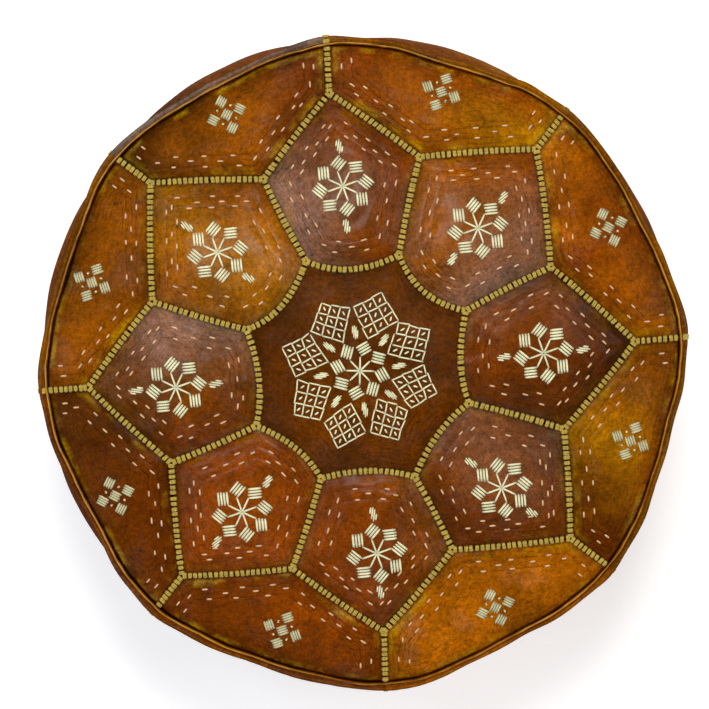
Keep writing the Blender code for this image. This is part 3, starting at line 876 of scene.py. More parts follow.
def make_side(k):
    """One side panel, between radial seams k and k + 1, turned in under the piping at its top."""
    first = RIM_ANGLES[k]
    width, places, rows = side_places(k)
    flat = np.array([(s, height) for height, _, _ in rows for s in places])
    outs = np.repeat([out for _, out, _ in rows], len(places))
    turned = np.repeat([float(over) for _, _, over in rows], len(places))
    seam_gap = np.minimum(flat[:, 0], width - flat[:, 0])
    top_gap = FIN_TOP - flat[:, 1]
    low_gap = flat[:, 1] - SIDE_HEM
    rise = puckers(flat[:, 1], seam_gap, 40.0 + k) - rolled(seam_gap) + creases(flat, 60.0 + k)
    rise -= 0.002 * hump(low_gap, 0.003)
    rise += 1.6 * puckers(flat[:, 0], np.minimum(top_gap, low_gap) + 0.002, 80.0 + k)
    rise = rise * (1 - 0.8 * turned) + 0.0012 * hump(seam_gap, 0.02) * turned
    closing = 0.0005 * turned * np.exp(-seam_gap / 0.002) * np.sign(flat[:, 0] - width / 2)
    verts = []
    for (s, height), up, over, out, close in zip(flat, rise, turned, outs, closing):
        angle = first + (s + close) / BULGE_RADIUS
        way = Vector((math.cos(angle), math.sin(angle), 1.0))
        if over:
            radius = ridge_radius(angle) + out * (1 + 0.35 * noise.noise(way * 6)) + up
            height += 0.0005 * noise.noise(way * 15)
        else:
            radius = side_surface(angle, height) + up
        verts.append((way.x * radius, way.y * radius, height))
    # The turned-over band is painted darker on its outer, lower part: painted shade under the fold. Below
    # it the side is darker just under the rim, fading downwards.
    on_band = 0.005 - 0.0034 * np.clip((top_gap - 0.003) / 0.0025, 0, 1)
    under_rim_dark = np.where(turned > 0, on_band, 0.0016 + 0.35 * (top_gap - 0.014))
    edge_gap = np.minimum(np.minimum(seam_gap + 0.004 * turned, low_gap), under_rim_dark)
    # Painted shade along the crease between the two folds of the band, passed on as the tooled field
    crease = hump(outs - CREASE_OUT, CREASE_WIDTH) * turned
    out = 2 * np.clip(1 - top_gap / 0.03, 0, 1) - 1
    faces = grid_faces(len(rows), len(places))
    name = f"side_leather_{k + 1}"
    return leather_piece(name, verts, faces, edge_gap, crease, out, 2 * flat[:, 0] / width - 1)


def make_piping(name, radius_at, middle, half_width, half_height, seed):
    """A narrow fin of folded leather round the pouf, pinched and wavy as sewing leaves it."""
    verts, ridge = [], []
    for i in range(PIPING_STEPS):
        angle = math.tau * i / PIPING_STEPS
        out = outward(angle)
        place = Vector((out.x, out.y, seed))
        sway = 0.0007 * noise.noise(place * 9) + 0.0003 * noise.noise(place * 34)
        pinch = 1 + 0.22 * noise.noise(place * 22) + 0.12 * noise.noise(place * 60)
        lift = 0.0009 * noise.noise(place * 7 + Vector((3, 1, 2)))
        lean = 0.0006 * noise.noise(place * 16)
        for j in range(PIPING_SIDES):
            turn = math.tau * j / PIPING_SIDES
            high = math.sin(turn)
            across = half_width * pinch * math.cos(turn) * (1 - 0.35 * high)
            reach = radius_at(angle) + sway + across + lean * high
            verts.append(out * reach - DOWN * (middle + half_height * high + lift))
            ridge.append(high)
    faces = [(a, d, c, b) for a, b, c, d in grid_faces(PIPING_STEPS, PIPING_SIDES, True, True)]
    piece = new_mesh_object(name, verts, faces)
    # The fin's height round itself: the material paints it light on top and dark underneath, a painted
    # highlight and painted shade
    set_attribute(piece.data, "ridge", ridge)
    to_cover(verts, faces)
    return piece


def trough(x, y, flat, end):
    """1 over a flat rectangle round the middle, smooth down to 0 at a wider one."""
    return math.prod(smooth((e - abs(v)) / (e - f)) for v, f, e in zip((x, y), flat, end))


def base_outline(side):
    """The outline of half the base, counter-clockwise, with half the zip's window cut out."""
    x, y = ZIP_WINDOW
    steps = 150
    start = math.asin(JOINT_HALF_GAP / BASE_RADIUS)
    path = [polar(BASE_RADIUS, start + (math.pi - 2 * start) * i / steps) for i in range(steps + 1)]
    cut = [(-x, JOINT_HALF_GAP), (-x, y), (x, y), (x, JOINT_HALF_GAP)]
    stops = [path[-1], *[Vector(c) for c in cut], path[0]]
    for a, b in zip(stops, stops[1:]):
        path += even_path([a, b], 0.005)[1:]
    path.pop()
    return path if side > 0 else [-p for p in path]


def make_base(word, side):
    """Half the base: flat where it stands, drawn up round the zip, rolled in at its edges."""
    outline = base_outline(side)
    rows = [p for distance in ROLL_ROWS for p in tidy_row(outline, distance, True, outline)]
    kept = spread(rows, [], EDGE_SPACING)
    kept += spread(lattice(outline, BASE_STEP, ROLL_ROWS[-1]), kept, 0.0025)
    flat, faces = triangulate(outline, kept)
    gap, along = nearest(flat, outline)
    rim = BASE_RADIUS - np.hypot(flat[:, 0], flat[:, 1])
    verts = []
    lift = puckers(along, gap, 90.0 + side) + creases(flat, 95.0 + side)
    for (x, y), edge, rise, gap_here in zip(flat, rim, lift, gap):
        drawn = DENT_HEIGHT * trough(x, y, DENT_FLAT, DENT_END)
        wavy = max(rise, -0.4 * drawn) if drawn > 0.001 else abs(rise) * 0.5
        tucked = 0.0022 * hump(edge, 0.006)
        hem = 0.0006 * hump(gap_here, 0.002) if edge > 0.01 and drawn > 0.004 else 0.0
        verts.append((x, y, 0.0002 + drawn + wavy + tucked - hem))
    faces = [tuple(face)[::-1] for face in faces]
    out, across = flat[:, 1] / BASE_RADIUS * side, flat[:, 0] / BASE_RADIUS
    return leather_piece(f"base_leather_{word}", verts, faces, gap, np.zeros(len(flat)), out, across)


def make_liner():
    """The stuffed cotton bag: one closed cushion just inside the leather, notched over the zip."""
    rings = [("top", share * RIM_RADIUS) for share in np.linspace(0.03, 0.935, 26)]
    rings += [("side", SIDE_LOW + (SIDE_HIGH - SIDE_LOW) * share) for share in np.linspace(0.97, 0.04, 24)]
    rings += [("base", share * BASE_RADIUS) for share in np.linspace(0.955, 0.03, 26)]
    inset = LEATHER + LINER_CLEARANCE
    verts = []
    for kind, value in rings:
        for i in range(LINER_TURNS):
            angle = math.tau * i / LINER_TURNS
            if kind == "side":
                verts.append(outward(angle) * (side_surface(angle, value) - inset) - DOWN * value)
                continue
            x, y = polar(value, angle)
            if kind == "top":
                height = top_height(x, y) - inset - 0.001
            else:
                height = LINER_BASE + GROOVE_HEIGHT * trough(x, y, GROOVE_FLAT, GROOVE_END)
            verts.append(Vector((x, y, height)))
    faces = [(a, d, c, b) for a, b, c, d in grid_faces(len(rings), LINER_TURNS, closed=True)]
    last = (len(rings) - 1) * LINER_TURNS
    top_middle, base_middle = len(verts), len(verts) + 1
    verts += [Vector((0.0, 0.0, verts[i].z)) for i in (0, last)]
    for i in range(LINER_TURNS):
        after = (i + 1) % LINER_TURNS
        faces.append((i, after, top_middle))
        faces.append((last + after, last + i, base_middle))
    return new_mesh_object("stuffed_liner", verts, faces)


SEAMS = seams_of_top(SEAM_STEP)
OUTLINES = outlines_of_top(SEAMS)


def make_leathers():
    """Every leather panel: the star, each petal, crown and side panel, and the base's halves."""
    star = OUTLINES["star_panel"]
    pieces = [make_panel("star_leather", star, star, True, (), 0.0, 0)]
    for k in range(PANELS):
        n = k + 1
        petal, crown = OUTLINES[f"petal_panel_{n}"], OUTLINES[f"crown_panel_{n}"]
        sewn = joined(crown_sides(SEAMS, k)) + [SEAMS["radial", k][-1]]
        axis = (k + 0.5) * PITCH
        pieces.append(make_panel(f"petal_leather_{n}", petal, petal, True, PETAL_ROWS, k * PITCH, n))
        pieces.append(make_panel(f"crown_leather_{n}", crown, sewn, False, CROWN_ROWS, axis, n + 10))
        pieces.append(make_side(k))
    pieces += [make_base("left", 1), make_base("right", -1)]
    return {piece.name: piece for piece in pieces}


LEATHERS = make_leathers()
TOP_PIPING = make_piping(
    "top_piping", ridge_radius, WELT_HEIGHT + FIN_LIFT, FIN_HALF_WIDTH, FIN_HALF_HEIGHT, 2.0
)
BASE_PIPING = make_piping(
    "base_piping",
    lambda angle: BASE_CORD_RADIUS,
    BASE_CORD_HEIGHT,
    BASE_CORD_HALF_WIDTH,
    BASE_CORD_HALF_HEIGHT,
    7.0,
)
LINER = make_liner()
COVER_TREE = BVHTree.FromPolygons(COVER["verts"], COVER["faces"])


# ---------------- threads

# A strand of a bar, from one end to the other: place across the seam, height, thickness, and how much
# painted shade it gets where it dips into the leather and the seam. It comes out of the leather and humps
# over each rolled edge.
BAR_SHAPE = (
    (-1.14, -0.0012, 0.75, 1.0),
    (-0.95, 0.0002, 1.0, 0.4),
    (-0.54, 0.0011, 1.1, 0.0),
    (0.0, 0.0008, 1.0, 0.25),
    (0.54, 0.0011, 1.1, 0.0),
    (0.95, 0.0002, 1.0, 0.4),
    (1.14, -0.0012, 0.75, 1.0),
)
# A straight stitch: share of its length, overruns added, height and thickness in radii, and painted shade
# where it goes into the leather
STITCH_SHAPE = (
    (0.0, -1, -1.2, 0.6, 1.0),
    (0.0, 1, 0.0, 0.9, 0.4),
    (0.25, 0, 0.55, 1.0, 0.0),
    (0.5, 0, 0.7, 1.0, 0.0),
    (0.75, 0, 0.55, 1.0, 0.0),
    (1.0, -1, 0.0, 0.9, 0.4),
    (1.0, 1, -1.2, 0.6, 1.0),
)


def touch(point, inward):
    """Where a line through a point, coming in from outside, first meets the cover."""
    hit = COVER_TREE.ray_cast(point - inward * 0.06, inward)[0]
    return hit if hit else COVER_TREE.find_nearest(point)[0]


def thread_piece(name, strands):
    """One piece made of many short round threads; a strand is its points, radii and painted shade."""
    verts, faces, along, shade, thread_shades = [], [], [], [], []
    ring = range(THREAD_SIDES)
    for points, radii, thread_shade in strands:
        tone = RANDOM.uniform(0, 1)
        first = len(verts)
        travelled = 0.0
        for i, (here, radius, dark) in enumerate(zip(points, radii, thread_shade)):
            before = points[max(i - 1, 0)]
            forward = (points[min(i + 1, len(points) - 1)] - before).normalized()
            side = forward.cross(ODD_WAY)
            if side.length < 0.05:
                side = forward.cross(OTHER_ODD_WAY)
            side.normalize()
            up = side.cross(forward)
            travelled += (here - before).length
            turns = [math.tau * j / THREAD_SIDES for j in ring]
            verts += [here + (side * math.cos(turn) + up * math.sin(turn)) * radius for turn in turns]
            along += [travelled * 1000] * THREAD_SIDES
            shade += [tone] * THREAD_SIDES
            thread_shades += [dark] * THREAD_SIDES
        last = len(verts) - first - THREAD_SIDES
        tube = grid_faces(len(points), THREAD_SIDES, closed=True)
        tube += [tuple(ring)[::-1], tuple(last + j for j in ring)]
        faces += [tuple(first + i for i in face) for face in tube]
    piece = new_mesh_object(name, verts, faces)
    for key, values in (("along", along), ("tone", shade), ("thread_shade", thread_shades)):
        set_attribute(piece.data, key, values)
    return piece


def bar(centre, along, inward, strands):
    """One bar of the ladder stitch: three strands laid across a seam, the middle one on top."""
    across = inward.cross(along).normalized()
    left = touch(centre + across * SHOULDER, inward)
    right = touch(centre - across * SHOULDER, inward)
    middle = (left + right) / 2
    reach = (left - right).normalized()
    up = reach.cross(along).normalized()
    if up.dot(inward) > 0:
        up.negate()
    lean = RANDOM.normal(0, 0.07)
    size = RANDOM.normal(1.0, 0.06)
    middle += along * RANDOM.normal(0, 0.0002)
    for strand in (-1, 0, 1):
        shift = along * (strand * STRAND_GAP + RANDOM.normal(0, 0.00008))
        shift += up * (0.00025 * (1 - abs(strand)))
        reached = BAR_HALF_LENGTH * (1 - 0.10 * abs(strand))
        way = reach + along * lean
        points = [middle + shift + way * (reached * size * u) + up * h for u, h, _, _ in BAR_SHAPE]
        radii = [SILK_RADIUS * RANDOM.normal(1.0, 0.04) * w for _, _, w, _ in BAR_SHAPE]
        strands.append((points, radii, [dark for _, _, _, dark in BAR_SHAPE]))


def plan_ladder(path, strands):
    """Bars along a seam of the top."""
    length = path_length(path)
    count = max(1, round(length / BAR_PITCH))
    for point, direction in walk(path, length / count, length / count / 2):
        centre = Vector((point.x, point.y, dome_height(point.length)))
        bar(centre, Vector((direction.x, direction.y, 0.0)), DOWN, strands)


def side_ladder(k):
    """Bars over the rim and down the side at radial seam k."""
    out = outward(RIM_ANGLES[k])
    strands = []
    ridge = out * ridge_radius(RIM_ANGLES[k]) - DOWN * (WELT_HEIGHT + FIN_HALF_HEIGHT)
    for place in RIM_BAR_PLACES if k in RIM_BARS else ():
        bar(ridge + out * place, out, DOWN, strands)
    for i in range(round((SIDE_HIGH - SIDE_LOW - 0.004) / BAR_PITCH)):
        height = SIDE_HIGH - 0.001 - (i + 0.5) * BAR_PITCH
        bar(out * side_radius(height) - DOWN * height, DOWN, -out, strands)
    return strands


def stitch(a, b, radius, strands, inward=DOWN):
    """One straight stitch on the top or the base, from plan point a to plan point b."""
    span = b - a
    overrun = 0.5 * radius / span.length
    points, radii, thread_shade = [], [], []
    for share, end, height, width, dark in STITCH_SHAPE:
        place = a + span * (share + end * overrun)
        level = dome_height(place.length) if inward == DOWN else 0.0
        spot = touch(Vector((place.x, place.y, level)), inward)
        points.append(spot - inward * (height * radius))
        radii.append(radius * width)
        thread_shade.append(dark)
    strands.append((points, radii, thread_shade))


def satin(centre, angle, length, gap, radius, strands, stagger=0.0, taper=0.0):
    """Four parallel stitches; stagger slides each one on, and taper shortens the outer ones."""
    along = polar(1.0, angle)
    across = Vector((-along.y, along.x))
    for row in (-1.5, -0.5, 0.5, 1.5):
        middle = centre + across * (row * gap) + along * (row * stagger)
        shorter = 1 - taper * abs(row) / 1.5
        half = along * (length / 2 * shorter * RANDOM.normal(1.0, 0.03))
        shift = along * RANDOM.normal(0, 0.0002)
        stitch(middle - half + shift, middle + half + shift, radius * RANDOM.normal(1, 0.04), strands)


def rosette(centre, turn, ray_length, block_radius, strands):
    """Eight rays from a centre, ringed by eight satin blocks."""
    for i in range(8):
        angle = turn + i * PITCH
        start, end = polar(0.0004, angle, centre), polar(ray_length, angle, centre)
        stitch(start, end, CREAM_RADIUS * 0.85, strands)
        angle += BLOCK_TURN
        block = polar(block_radius, angle, centre)
        satin(block, angle - BLOCK_LEAN, 0.0100, 0.0023, CREAM_RADIUS, strands)


def jitter(point, millimetres=0.5):
    """A plan point moved as far as a hand misses its mark."""
    return point + Vector(RANDOM.normal(0, millimetres / 1000, 2))


def kite(angle, strands):
    """A kite of the medallion's ring: nine small squares, each with a short stitch across it."""
    inner = jitter(polar(0.0258, angle, STAR_CENTRE))
    outer = jitter(polar(0.0622, angle, STAR_CENTRE), 0.9)
    before = jitter(polar(0.0490, angle - PITCH * 0.47, STAR_CENTRE), 0.7)
    after = jitter(polar(0.0490, angle + PITCH * 0.47, STAR_CENTRE), 0.7)

    def spot(u, v):
        """The kite's point at u and v squares along its sides."""
        low = inner.lerp(before, u / 3)
        high = after.lerp(outer, u / 3)
        return low.lerp(high, v / 3)

    for line in range(4):
        for i in range(3):
            stitch(jitter(spot(line, i), 0.4), jitter(spot(line, i + 1), 0.4), GRID_RADIUS, strands)
            stitch(jitter(spot(i, line), 0.4), jitter(spot(i + 1, line), 0.4), GRID_RADIUS, strands)
    for u in range(3):
        for v in range(3):
            stitch(spot(u + 0.36, v + 0.36), spot(u + 0.64, v + 0.64), CREAM_RADIUS * 0.8, strands)


def medallion():
    """The star's embroidery: a rosette, eight leaves, and a ring of eight kites."""
    strands = []
    rosette(STAR_CENTRE, math.radians(-6.3), 0.0108, 0.0174, strands)
    for i in range(8):
        angle = math.radians(2) + i * PITCH
        leaf = polar(0.0302, angle, STAR_CENTRE)
        satin(leaf, angle - math.radians(10), 0.0122, 0.0013, CREAM_RADIUS * 0.72, strands, 0.0012, 0.5)
        kite(math.radians(24.5) + i * PITCH, strands)
    return strands


def petal_motif(k):
    """A petal's rosette, with a diamond on each side of it along the petal."""
    strands = []
    axis = k * PITCH
    centre = polar(MOTIF_RADIUS, axis, STAR_CENTRE)
    rosette(centre, axis + math.radians(14.7), 0.0122, 0.0181, strands)
    for way in (-1, 1):
        place = polar(way * 0.0312, axis, centre)
        turn = axis - math.radians(12)
        satin(place, turn, 0.0120, 0.0017, CREAM_RADIUS * 0.80, strands, 0.0014, 0.62)
    return strands


def crown_motif(k):
    """A crown panel's cross of five satin squares with four dots."""
    strands = []
    axis = (k + 0.5) * PITCH + math.radians(0.8)
    centre = polar(CROSS_RADIUS, axis)
    turn = axis - math.radians(5)
    satin(centre, turn - BLOCK_LEAN, 0.0078, 0.0019, CREAM_RADIUS, strands)
    for i in range(4):
        arm = turn + i * math.pi / 2
        satin(polar(0.0112, arm, centre), arm - BLOCK_LEAN, 0.0080, 0.0019, CREAM_RADIUS, strands)
        dot = polar(0.0080, arm + math.pi / 4, centre)
        step = polar(0.0009, arm)
        stitch(dot - step, dot + step, CREAM_RADIUS, strands)
    return strands


def running(sides, closed, rows):
    """Three staggered rows of running stitches beside each side of a panel."""
    strands = []
    path = joined(sides) + ([] if closed else [sides[-1][-1]])
    for side in sides:
        lines = []
        for distance in rows:
            moved = offset_path(side, distance)
            clear = nearest(np.array([tuple(p) for p in moved]), path, closed)[0] > distance * 0.98
            lines.append([p for p, keep in zip(moved, clear) if keep])
        count = max(1, round(path_length(lines[0]) / RUNNING_PITCH))
        for line, start in zip(lines, (0.5, 0.04, 0.5)):
            length = path_length(line)
            for i in range(count if len(line) > 2 else 0):
                share = (start + i) / count + RANDOM.normal(0, 0.02)
                point, direction = walk(line, length, min(max(share, 0.01), 0.99) * length)[0]
                edge = CROWN_EDGE + rim_wave(math.atan2(point.y, point.x))
                if not closed and point.length > edge - 0.006:
                    continue
                half = direction * (RUNNING_LENGTH / 2 * RANDOM.normal(1.0, 0.08))
                middle = jitter(point, 0.3)
                stitch(middle - half, middle + half, RUNNING_RADIUS, strands)
    return strands


def zip_rows():
    """The row of machine stitches that holds each of the zip's tapes to the base."""
    strands = []
    count = round(2 * ZIP_WINDOW[0] / TAPE_PITCH)
    half = TAPE_PITCH * 0.36
    for side in (-1, 1):
        y = side * (ZIP_WINDOW[1] + TAPE_ROW)
        for i in range(count):
            x = (i + 0.5 - count / 2) * TAPE_PITCH
            stitch(Vector((x - half, y)), Vector((x + half, y)), TAPE_THREAD, strands, -DOWN)
    return strands


def thread_plan():
    """Every thread piece: its name, its strands, its silk and the CAD nodes it stands for."""
    star, crown, pieces = [], [], {}
    for k in range(PANELS):
        plan_ladder(SEAMS["star", k], star)
    pieces["star_ladder"] = (star, "seam_silk", ["star_seam"])
    for k in range(PANELS):
        petal = []
        plan_ladder(SEAMS["petal", k], petal)
        for seam in ("up", "down", "radial"):
            plan_ladder(SEAMS[seam, k], crown)
        pieces[f"petal_ladder_{k + 1}"] = (petal, "seam_silk", [f"petal_seam_{k + 1}"])
        pieces[f"side_ladder_{k + 1}"] = (side_ladder(k), "seam_silk", [f"side_seam_{k + 1}"])
    pieces["crown_ladder"] = (crown, "seam_silk", ["crown_seam"])
    pieces["medallion_stitching"] = (medallion(), "cream_silk", [])
    for k in range(PANELS):
        pieces[f"petal_rosette_{k + 1}"] = (petal_motif(k), "cream_silk", [])
        pieces[f"crown_cross_{k + 1}"] = (crown_motif(k), "raw_silk", [])
        strands = running(petal_sides(SEAMS, k), True, PETAL_ROWS)
        pieces[f"petal_stitching_{k + 1}"] = (strands, "running_silk", [])
        strands = running(crown_sides(SEAMS, k), False, CROWN_ROWS)
        pieces[f"crown_stitching_{k + 1}"] = (strands, "running_silk", [])
    pieces["base_stitching"] = (zip_rows(), "tape_thread", [])
    return pieces


# ---------------- materials


def linear(rgb):
    """An sRGB colour given in 0 to 255, as the linear colour that a socket takes."""
    shares = [value / 255 for value in rgb]
    channels = [c / 12.92 if c <= 0.04045 else ((c + 0.055) / 1.055) ** 2.4 for c in shares]
    return (*channels, 1.0)


class Graph:
    """One material's nodes, with a Principled shader to feed."""

    def __init__(self, name, **constants):
        self.material = bpy.data.materials.new(name)
        self.material.use_nodes = True
        self.tree = self.material.node_tree
        self.shader = self.tree.nodes["Principled BSDF"]
        self.place = self.tree.nodes.new("ShaderNodeTexCoord").outputs["Object"]
        for socket, value in constants.items():
            self.shader.inputs[socket.replace("_", " ")].default_value = value

    def feed(self, node, inputs):
        """Links each of a node's inputs to another node's output, or sets it."""
        for key, value in inputs.items():
            if isinstance(value, bpy.types.NodeSocket):
                self.tree.links.new(value, node.inputs[key])
            else:
                node.inputs[key].default_value = value
        return node

    def node(self, kind, inputs, **settings):
        """A new node with its settings and inputs."""
        made = self.tree.nodes.new("ShaderNode" + kind)
        for key, value in settings.items():
            setattr(made, key, value)
        return self.feed(made, inputs)

    def noise(self, scale, detail=4.0, roughness=0.55, distortion=0.0):
        """Fractal noise over the piece, from 0 to 1 round 0.5."""
        inputs = {"Scale": scale, "Detail": detail, "Roughness": roughness, "Distortion": distortion}
        return self.node("TexNoise", {"Vector": self.place, **inputs}).outputs["Fac"]

    def field(self, name):
        """A number stored on the piece's vertices."""
        return self.node("Attribute", {}, attribute_name=name).outputs["Fac"]

    def span(self, value, low, high, to_low, to_high):
        """Maps a value's range to another, clamped."""
        inputs = {"From Min": low, "From Max": high, "To Min": to_low, "To Max": to_high}
        return self.node("MapRange", {"Value": value, **inputs}).outputs["Result"]

    def cloud(self, scale, low, high, within=(0.3, 0.7), detail=4.0, roughness=0.55, distortion=0.0):
        """Noise mapped to low to high, as it goes through a range."""
        return self.span(self.noise(scale, detail, roughness, distortion), *within, low, high)

    def math(self, operation, a, b=0.0):
        """Arithmetic on two values."""
        return self.node("Math", {0: a, 1: b}, operation=operation).outputs["Value"]

    def product(self, *values):
        """All the values multiplied together."""
        total = values[0]
        for value in values[1:]:
            total = self.math("MULTIPLY", total, value)
        return total

    def mix(self, share, a, b):
        """A blend of two colours."""
        return self.node("Mix", {0: share, 6: a, 7: b}, data_type="RGBA").outputs[2]

    def ramp(self, value, *stops):
        """Three colours along a value."""
        made = self.node("ValToRGB", {"Fac": value})
        made.color_ramp.elements.new(0.5)
        for element, (at, colour) in zip(made.color_ramp.elements, stops):
            element.position = at
            element.color = colour
        return made.outputs["Color"]

    def tinted(self, colour, value, saturation=1.0):
        """A colour made lighter or darker, and more or less vivid."""
        inputs = {"Color": colour, "Value": value, "Saturation": saturation}
        return self.node("HueSaturation", inputs).outputs["Color"]

    def bump(self, height, distance, strength=1.0, below=None):
        """A bump, over another one if there is one below."""
        inputs = {"Height": height, "Distance": distance, "Strength": strength}
        if below:
            inputs["Normal"] = below
        return self.node("Bump", inputs).outputs["Normal"]

    def finish(self, colour, roughness, normal):
        """Feeds the shader and gives the material."""
        self.feed(self.shader, {"Base Color": colour, "Roughness": roughness, "Normal": normal})
        return self.material


def leather_bump(g):
    """Leather's grain: soft wrinkles, with pebbles and pores over them."""
    wrinkles = g.math("ADD", g.noise(42.0, 5.0, 0.6, 1.2), g.product(g.noise(150.0, 5.0, 0.65, 0.8), 0.5))
    cells = g.node("TexVoronoi", {"Vector": g.place, "Scale": 520.0}, feature="SMOOTH_F1")
    pebbles = g.math("ADD", cells.outputs["Distance"], g.product(g.noise(1300.0, 2.0), 0.5))
    return g.bump(pebbles, 0.00045, 0.6, g.bump(wrinkles, 0.0022, 0.8))


def seam_wrinkles(g, edge_gap):
    """Wrinkles that wander along the seams, here and there, and fade away from them."""
    wander = g.math("ADD", edge_gap, g.cloud(55.0, -2.2, 2.2))
    ruled = g.math("ABSOLUTE", g.math("SUBTRACT", g.math("PINGPONG", wander, 4.2), 2.1))
    kept = g.product(g.cloud(24.0, 0.0, 1.0, (0.45, 0.6), 3.0), g.span(edge_gap, 22.0, 34.0, 1.0, 0.0))
    return g.product(g.span(ruled, 0.0, 0.35, 1.0, 0.0), kept)


def dyed_leather(name, dyes, coat=0.02, gloss=0.13, rubbed_and_glint=0.0):
    """Hand-dyed leather: blended dyes, uneven tones, dark by its seams and tooling, with painted shade in
    its wrinkles and creases and a painted highlight in patches beside the seams.
    """
    left, middle, right, outer = (linear(DYES[dye]) for dye in dyes)
    shine = {"Coat_Weight": coat, "Coat_Roughness": 0.22, "Specular_IOR_Level": gloss}
    g = Graph(name, Specular_Tint=(1.0, 0.45, 0.06, 1.0), **shine)
    warp = g.cloud(13.0, -0.22, 0.22, detail=5.0)
    across = g.math("ADD", g.span(g.field("across"), -0.9, 0.9, 0.0, 1.0), warp)
    dye = g.ramp(across, (0.08, right), (0.5, middle), (0.92, left))
    dye = g.mix(g.span(g.math("ADD", g.field("outward"), warp), 0.25, 0.85, 0.0, 0.8), dye, outer)
    edge_gap = g.field("edge_gap")
    gap = g.math("ADD", edge_gap, g.cloud(160.0, -0.8, 0.8, detail=3.0))
    far = g.math("ADD", gap, g.cloud(30.0, -7.0, 7.0, detail=5.0, roughness=0.65))
    stain = g.span(far, 0.0, 16.0, 0.66, 1.06)
    seam = g.span(gap, 0.4, 2.9, 0.36, 1.0)
    cut = g.span(gap, 2.5, 4.2, 0.55, 1.0)
    wrinkles = seam_wrinkles(g, edge_gap)
    # The tooled field darkens the tooled lines; on the side panels it is painted shade in the crease of the
    # turned-over fold
    tooled = g.span(g.field("tooled"), 0.2, 1.0, 1.0, 0.62)
    # The wrinkles are painted darker too: painted shade in their hollows
    tooled = g.product(tooled, g.span(wrinkles, 0.0, 1.0, 1.0, 0.52))
    value = g.product(*[g.cloud(*tone) for tone in TONES], stain, seam, cut, tooled)
    # A painted highlight: pale patches on the raised roll a few millimetres from each seam
    raised = g.product(g.span(gap, 3.0, 5.0, 0.0, 1.0), g.span(gap, 5.5, 10.0, 1.0, 0.0))
    patchy = g.cloud(38.0, 0.0, rubbed_and_glint, (0.46, 0.62), 5.0, 0.65)
    dye = g.mix(g.product(raised, patchy), dye, linear(SEAM_GLINT))
    colour = g.tinted(dye, value, g.cloud(31.0, 0.96, 1.08))
    roughness = g.cloud(60.0, 0.33, 0.52, detail=6.0, roughness=0.65)
    return g.finish(colour, roughness, g.bump(wrinkles, -0.0006, 0.6, leather_bump(g)))


def piping_leather():
    """The fin at the rim: dark underneath and in its creases as painted shade, orange on its ridge, partly
    wear from handling and partly a painted highlight.
    """
    shine = {"Coat_Weight": 0.05, "Coat_Roughness": 0.24, "Specular_IOR_Level": 0.3}
    g = Graph("piping_leather", Specular_Tint=(1.0, 0.6, 0.15, 1.0), **shine)
    patchy = g.math("ADD", g.cloud(90.0, -0.3, 0.3, detail=5.0), g.cloud(9.0, -0.6, 0.1, (0.35, 0.65)))
    # High on the fin reads light and low reads dark: painted highlight and painted shade, broken up in
    # patches
    worn = g.math("ADD", g.field("ridge"), patchy)
    deep, base, rubbed_and_glint = (linear(rgb) for rgb in PIPING_COLOURS)
    colour = g.ramp(g.span(worn, -0.6, 1.1, 0.0, 1.0), (0.1, deep), (0.55, base), (0.92, rubbed_and_glint))
    clouds = g.cloud(28.0, 0.78, 1.15, detail=6.0, roughness=0.65)
    value = g.product(clouds, g.cloud(600.0, 0.85, 1.05, (0.35, 0.65), 3.0))
    return g.finish(g.tinted(colour, value), g.cloud(70.0, 0.34, 0.52, detail=5.0), leather_bump(g))


def silk_thread(name, light, dark, sheen):
    """Twisted silk: plies that cross the thread, painted lighter on their crowns and darker between them,
    and each stitch a little different.
    """
    g = Graph(name, Sheen_Weight=sheen, Sheen_Roughness=0.35, Specular_IOR_Level=0.5)
    place = g.math("ADD", g.field("along"), g.cloud(900.0, 0.0, 0.9, (0.0, 1.0), 2.0))
    ply = g.span(g.math("SINE", g.product(place, 7.5)), -1.0, 1.0, 0.0, 1.0)
    fuzz = g.noise(2600.0, 3.0)
    fibre = g.span(fuzz, 0.3, 0.7, 0.78, 1.12)
    tone = g.span(g.field("tone"), 0.0, 1.0, 0.90, 1.10)
    worn = g.cloud(120.0, 1.05, 0.85, (0.35, 0.7))
    # Painted shade where the thread dips into the leather and into the seam
    thread_shading = g.span(g.field("thread_shade"), 0.0, 1.0, 1.0, 0.28)
    colour = g.tinted(g.mix(ply, linear(dark), linear(light)), g.product(fibre, tone, worn, thread_shading))
    normal = g.bump(fuzz, 0.00010, 0.6, g.bump(ply, 0.00022, 0.8))
    return g.finish(colour, g.span(fibre, 0.8, 1.1, 0.42, 0.62), normal)


def woven(name, light, dark, threads):
    """A plain weave of warp and weft, threads to the metre, with slubs and fuzz."""
    g = Graph(name, Sheen_Weight=0.35, Sheen_Roughness=0.5)
    inputs = {"Vector": g.place, "Scale": threads / math.tau, "Distortion": 0.6, "Detail Scale": 3.0}
    bands = [g.node("TexWave", inputs, bands_direction=axis).outputs["Fac"] for axis in ("X", "Y")]
    height = g.math("MAXIMUM", *bands)
    slubs = g.cloud(350.0, 0.85, 1.1)
    # Painted shade: darker in the gaps between the threads, lighter on them
    colour = g.tinted(g.mix(height, linear(dark), linear(light)), slubs)
    return g.finish(colour, g.span(slubs, 0.85, 1.1, 0.95, 0.75), g.bump(height, 0.0003, 0.8))


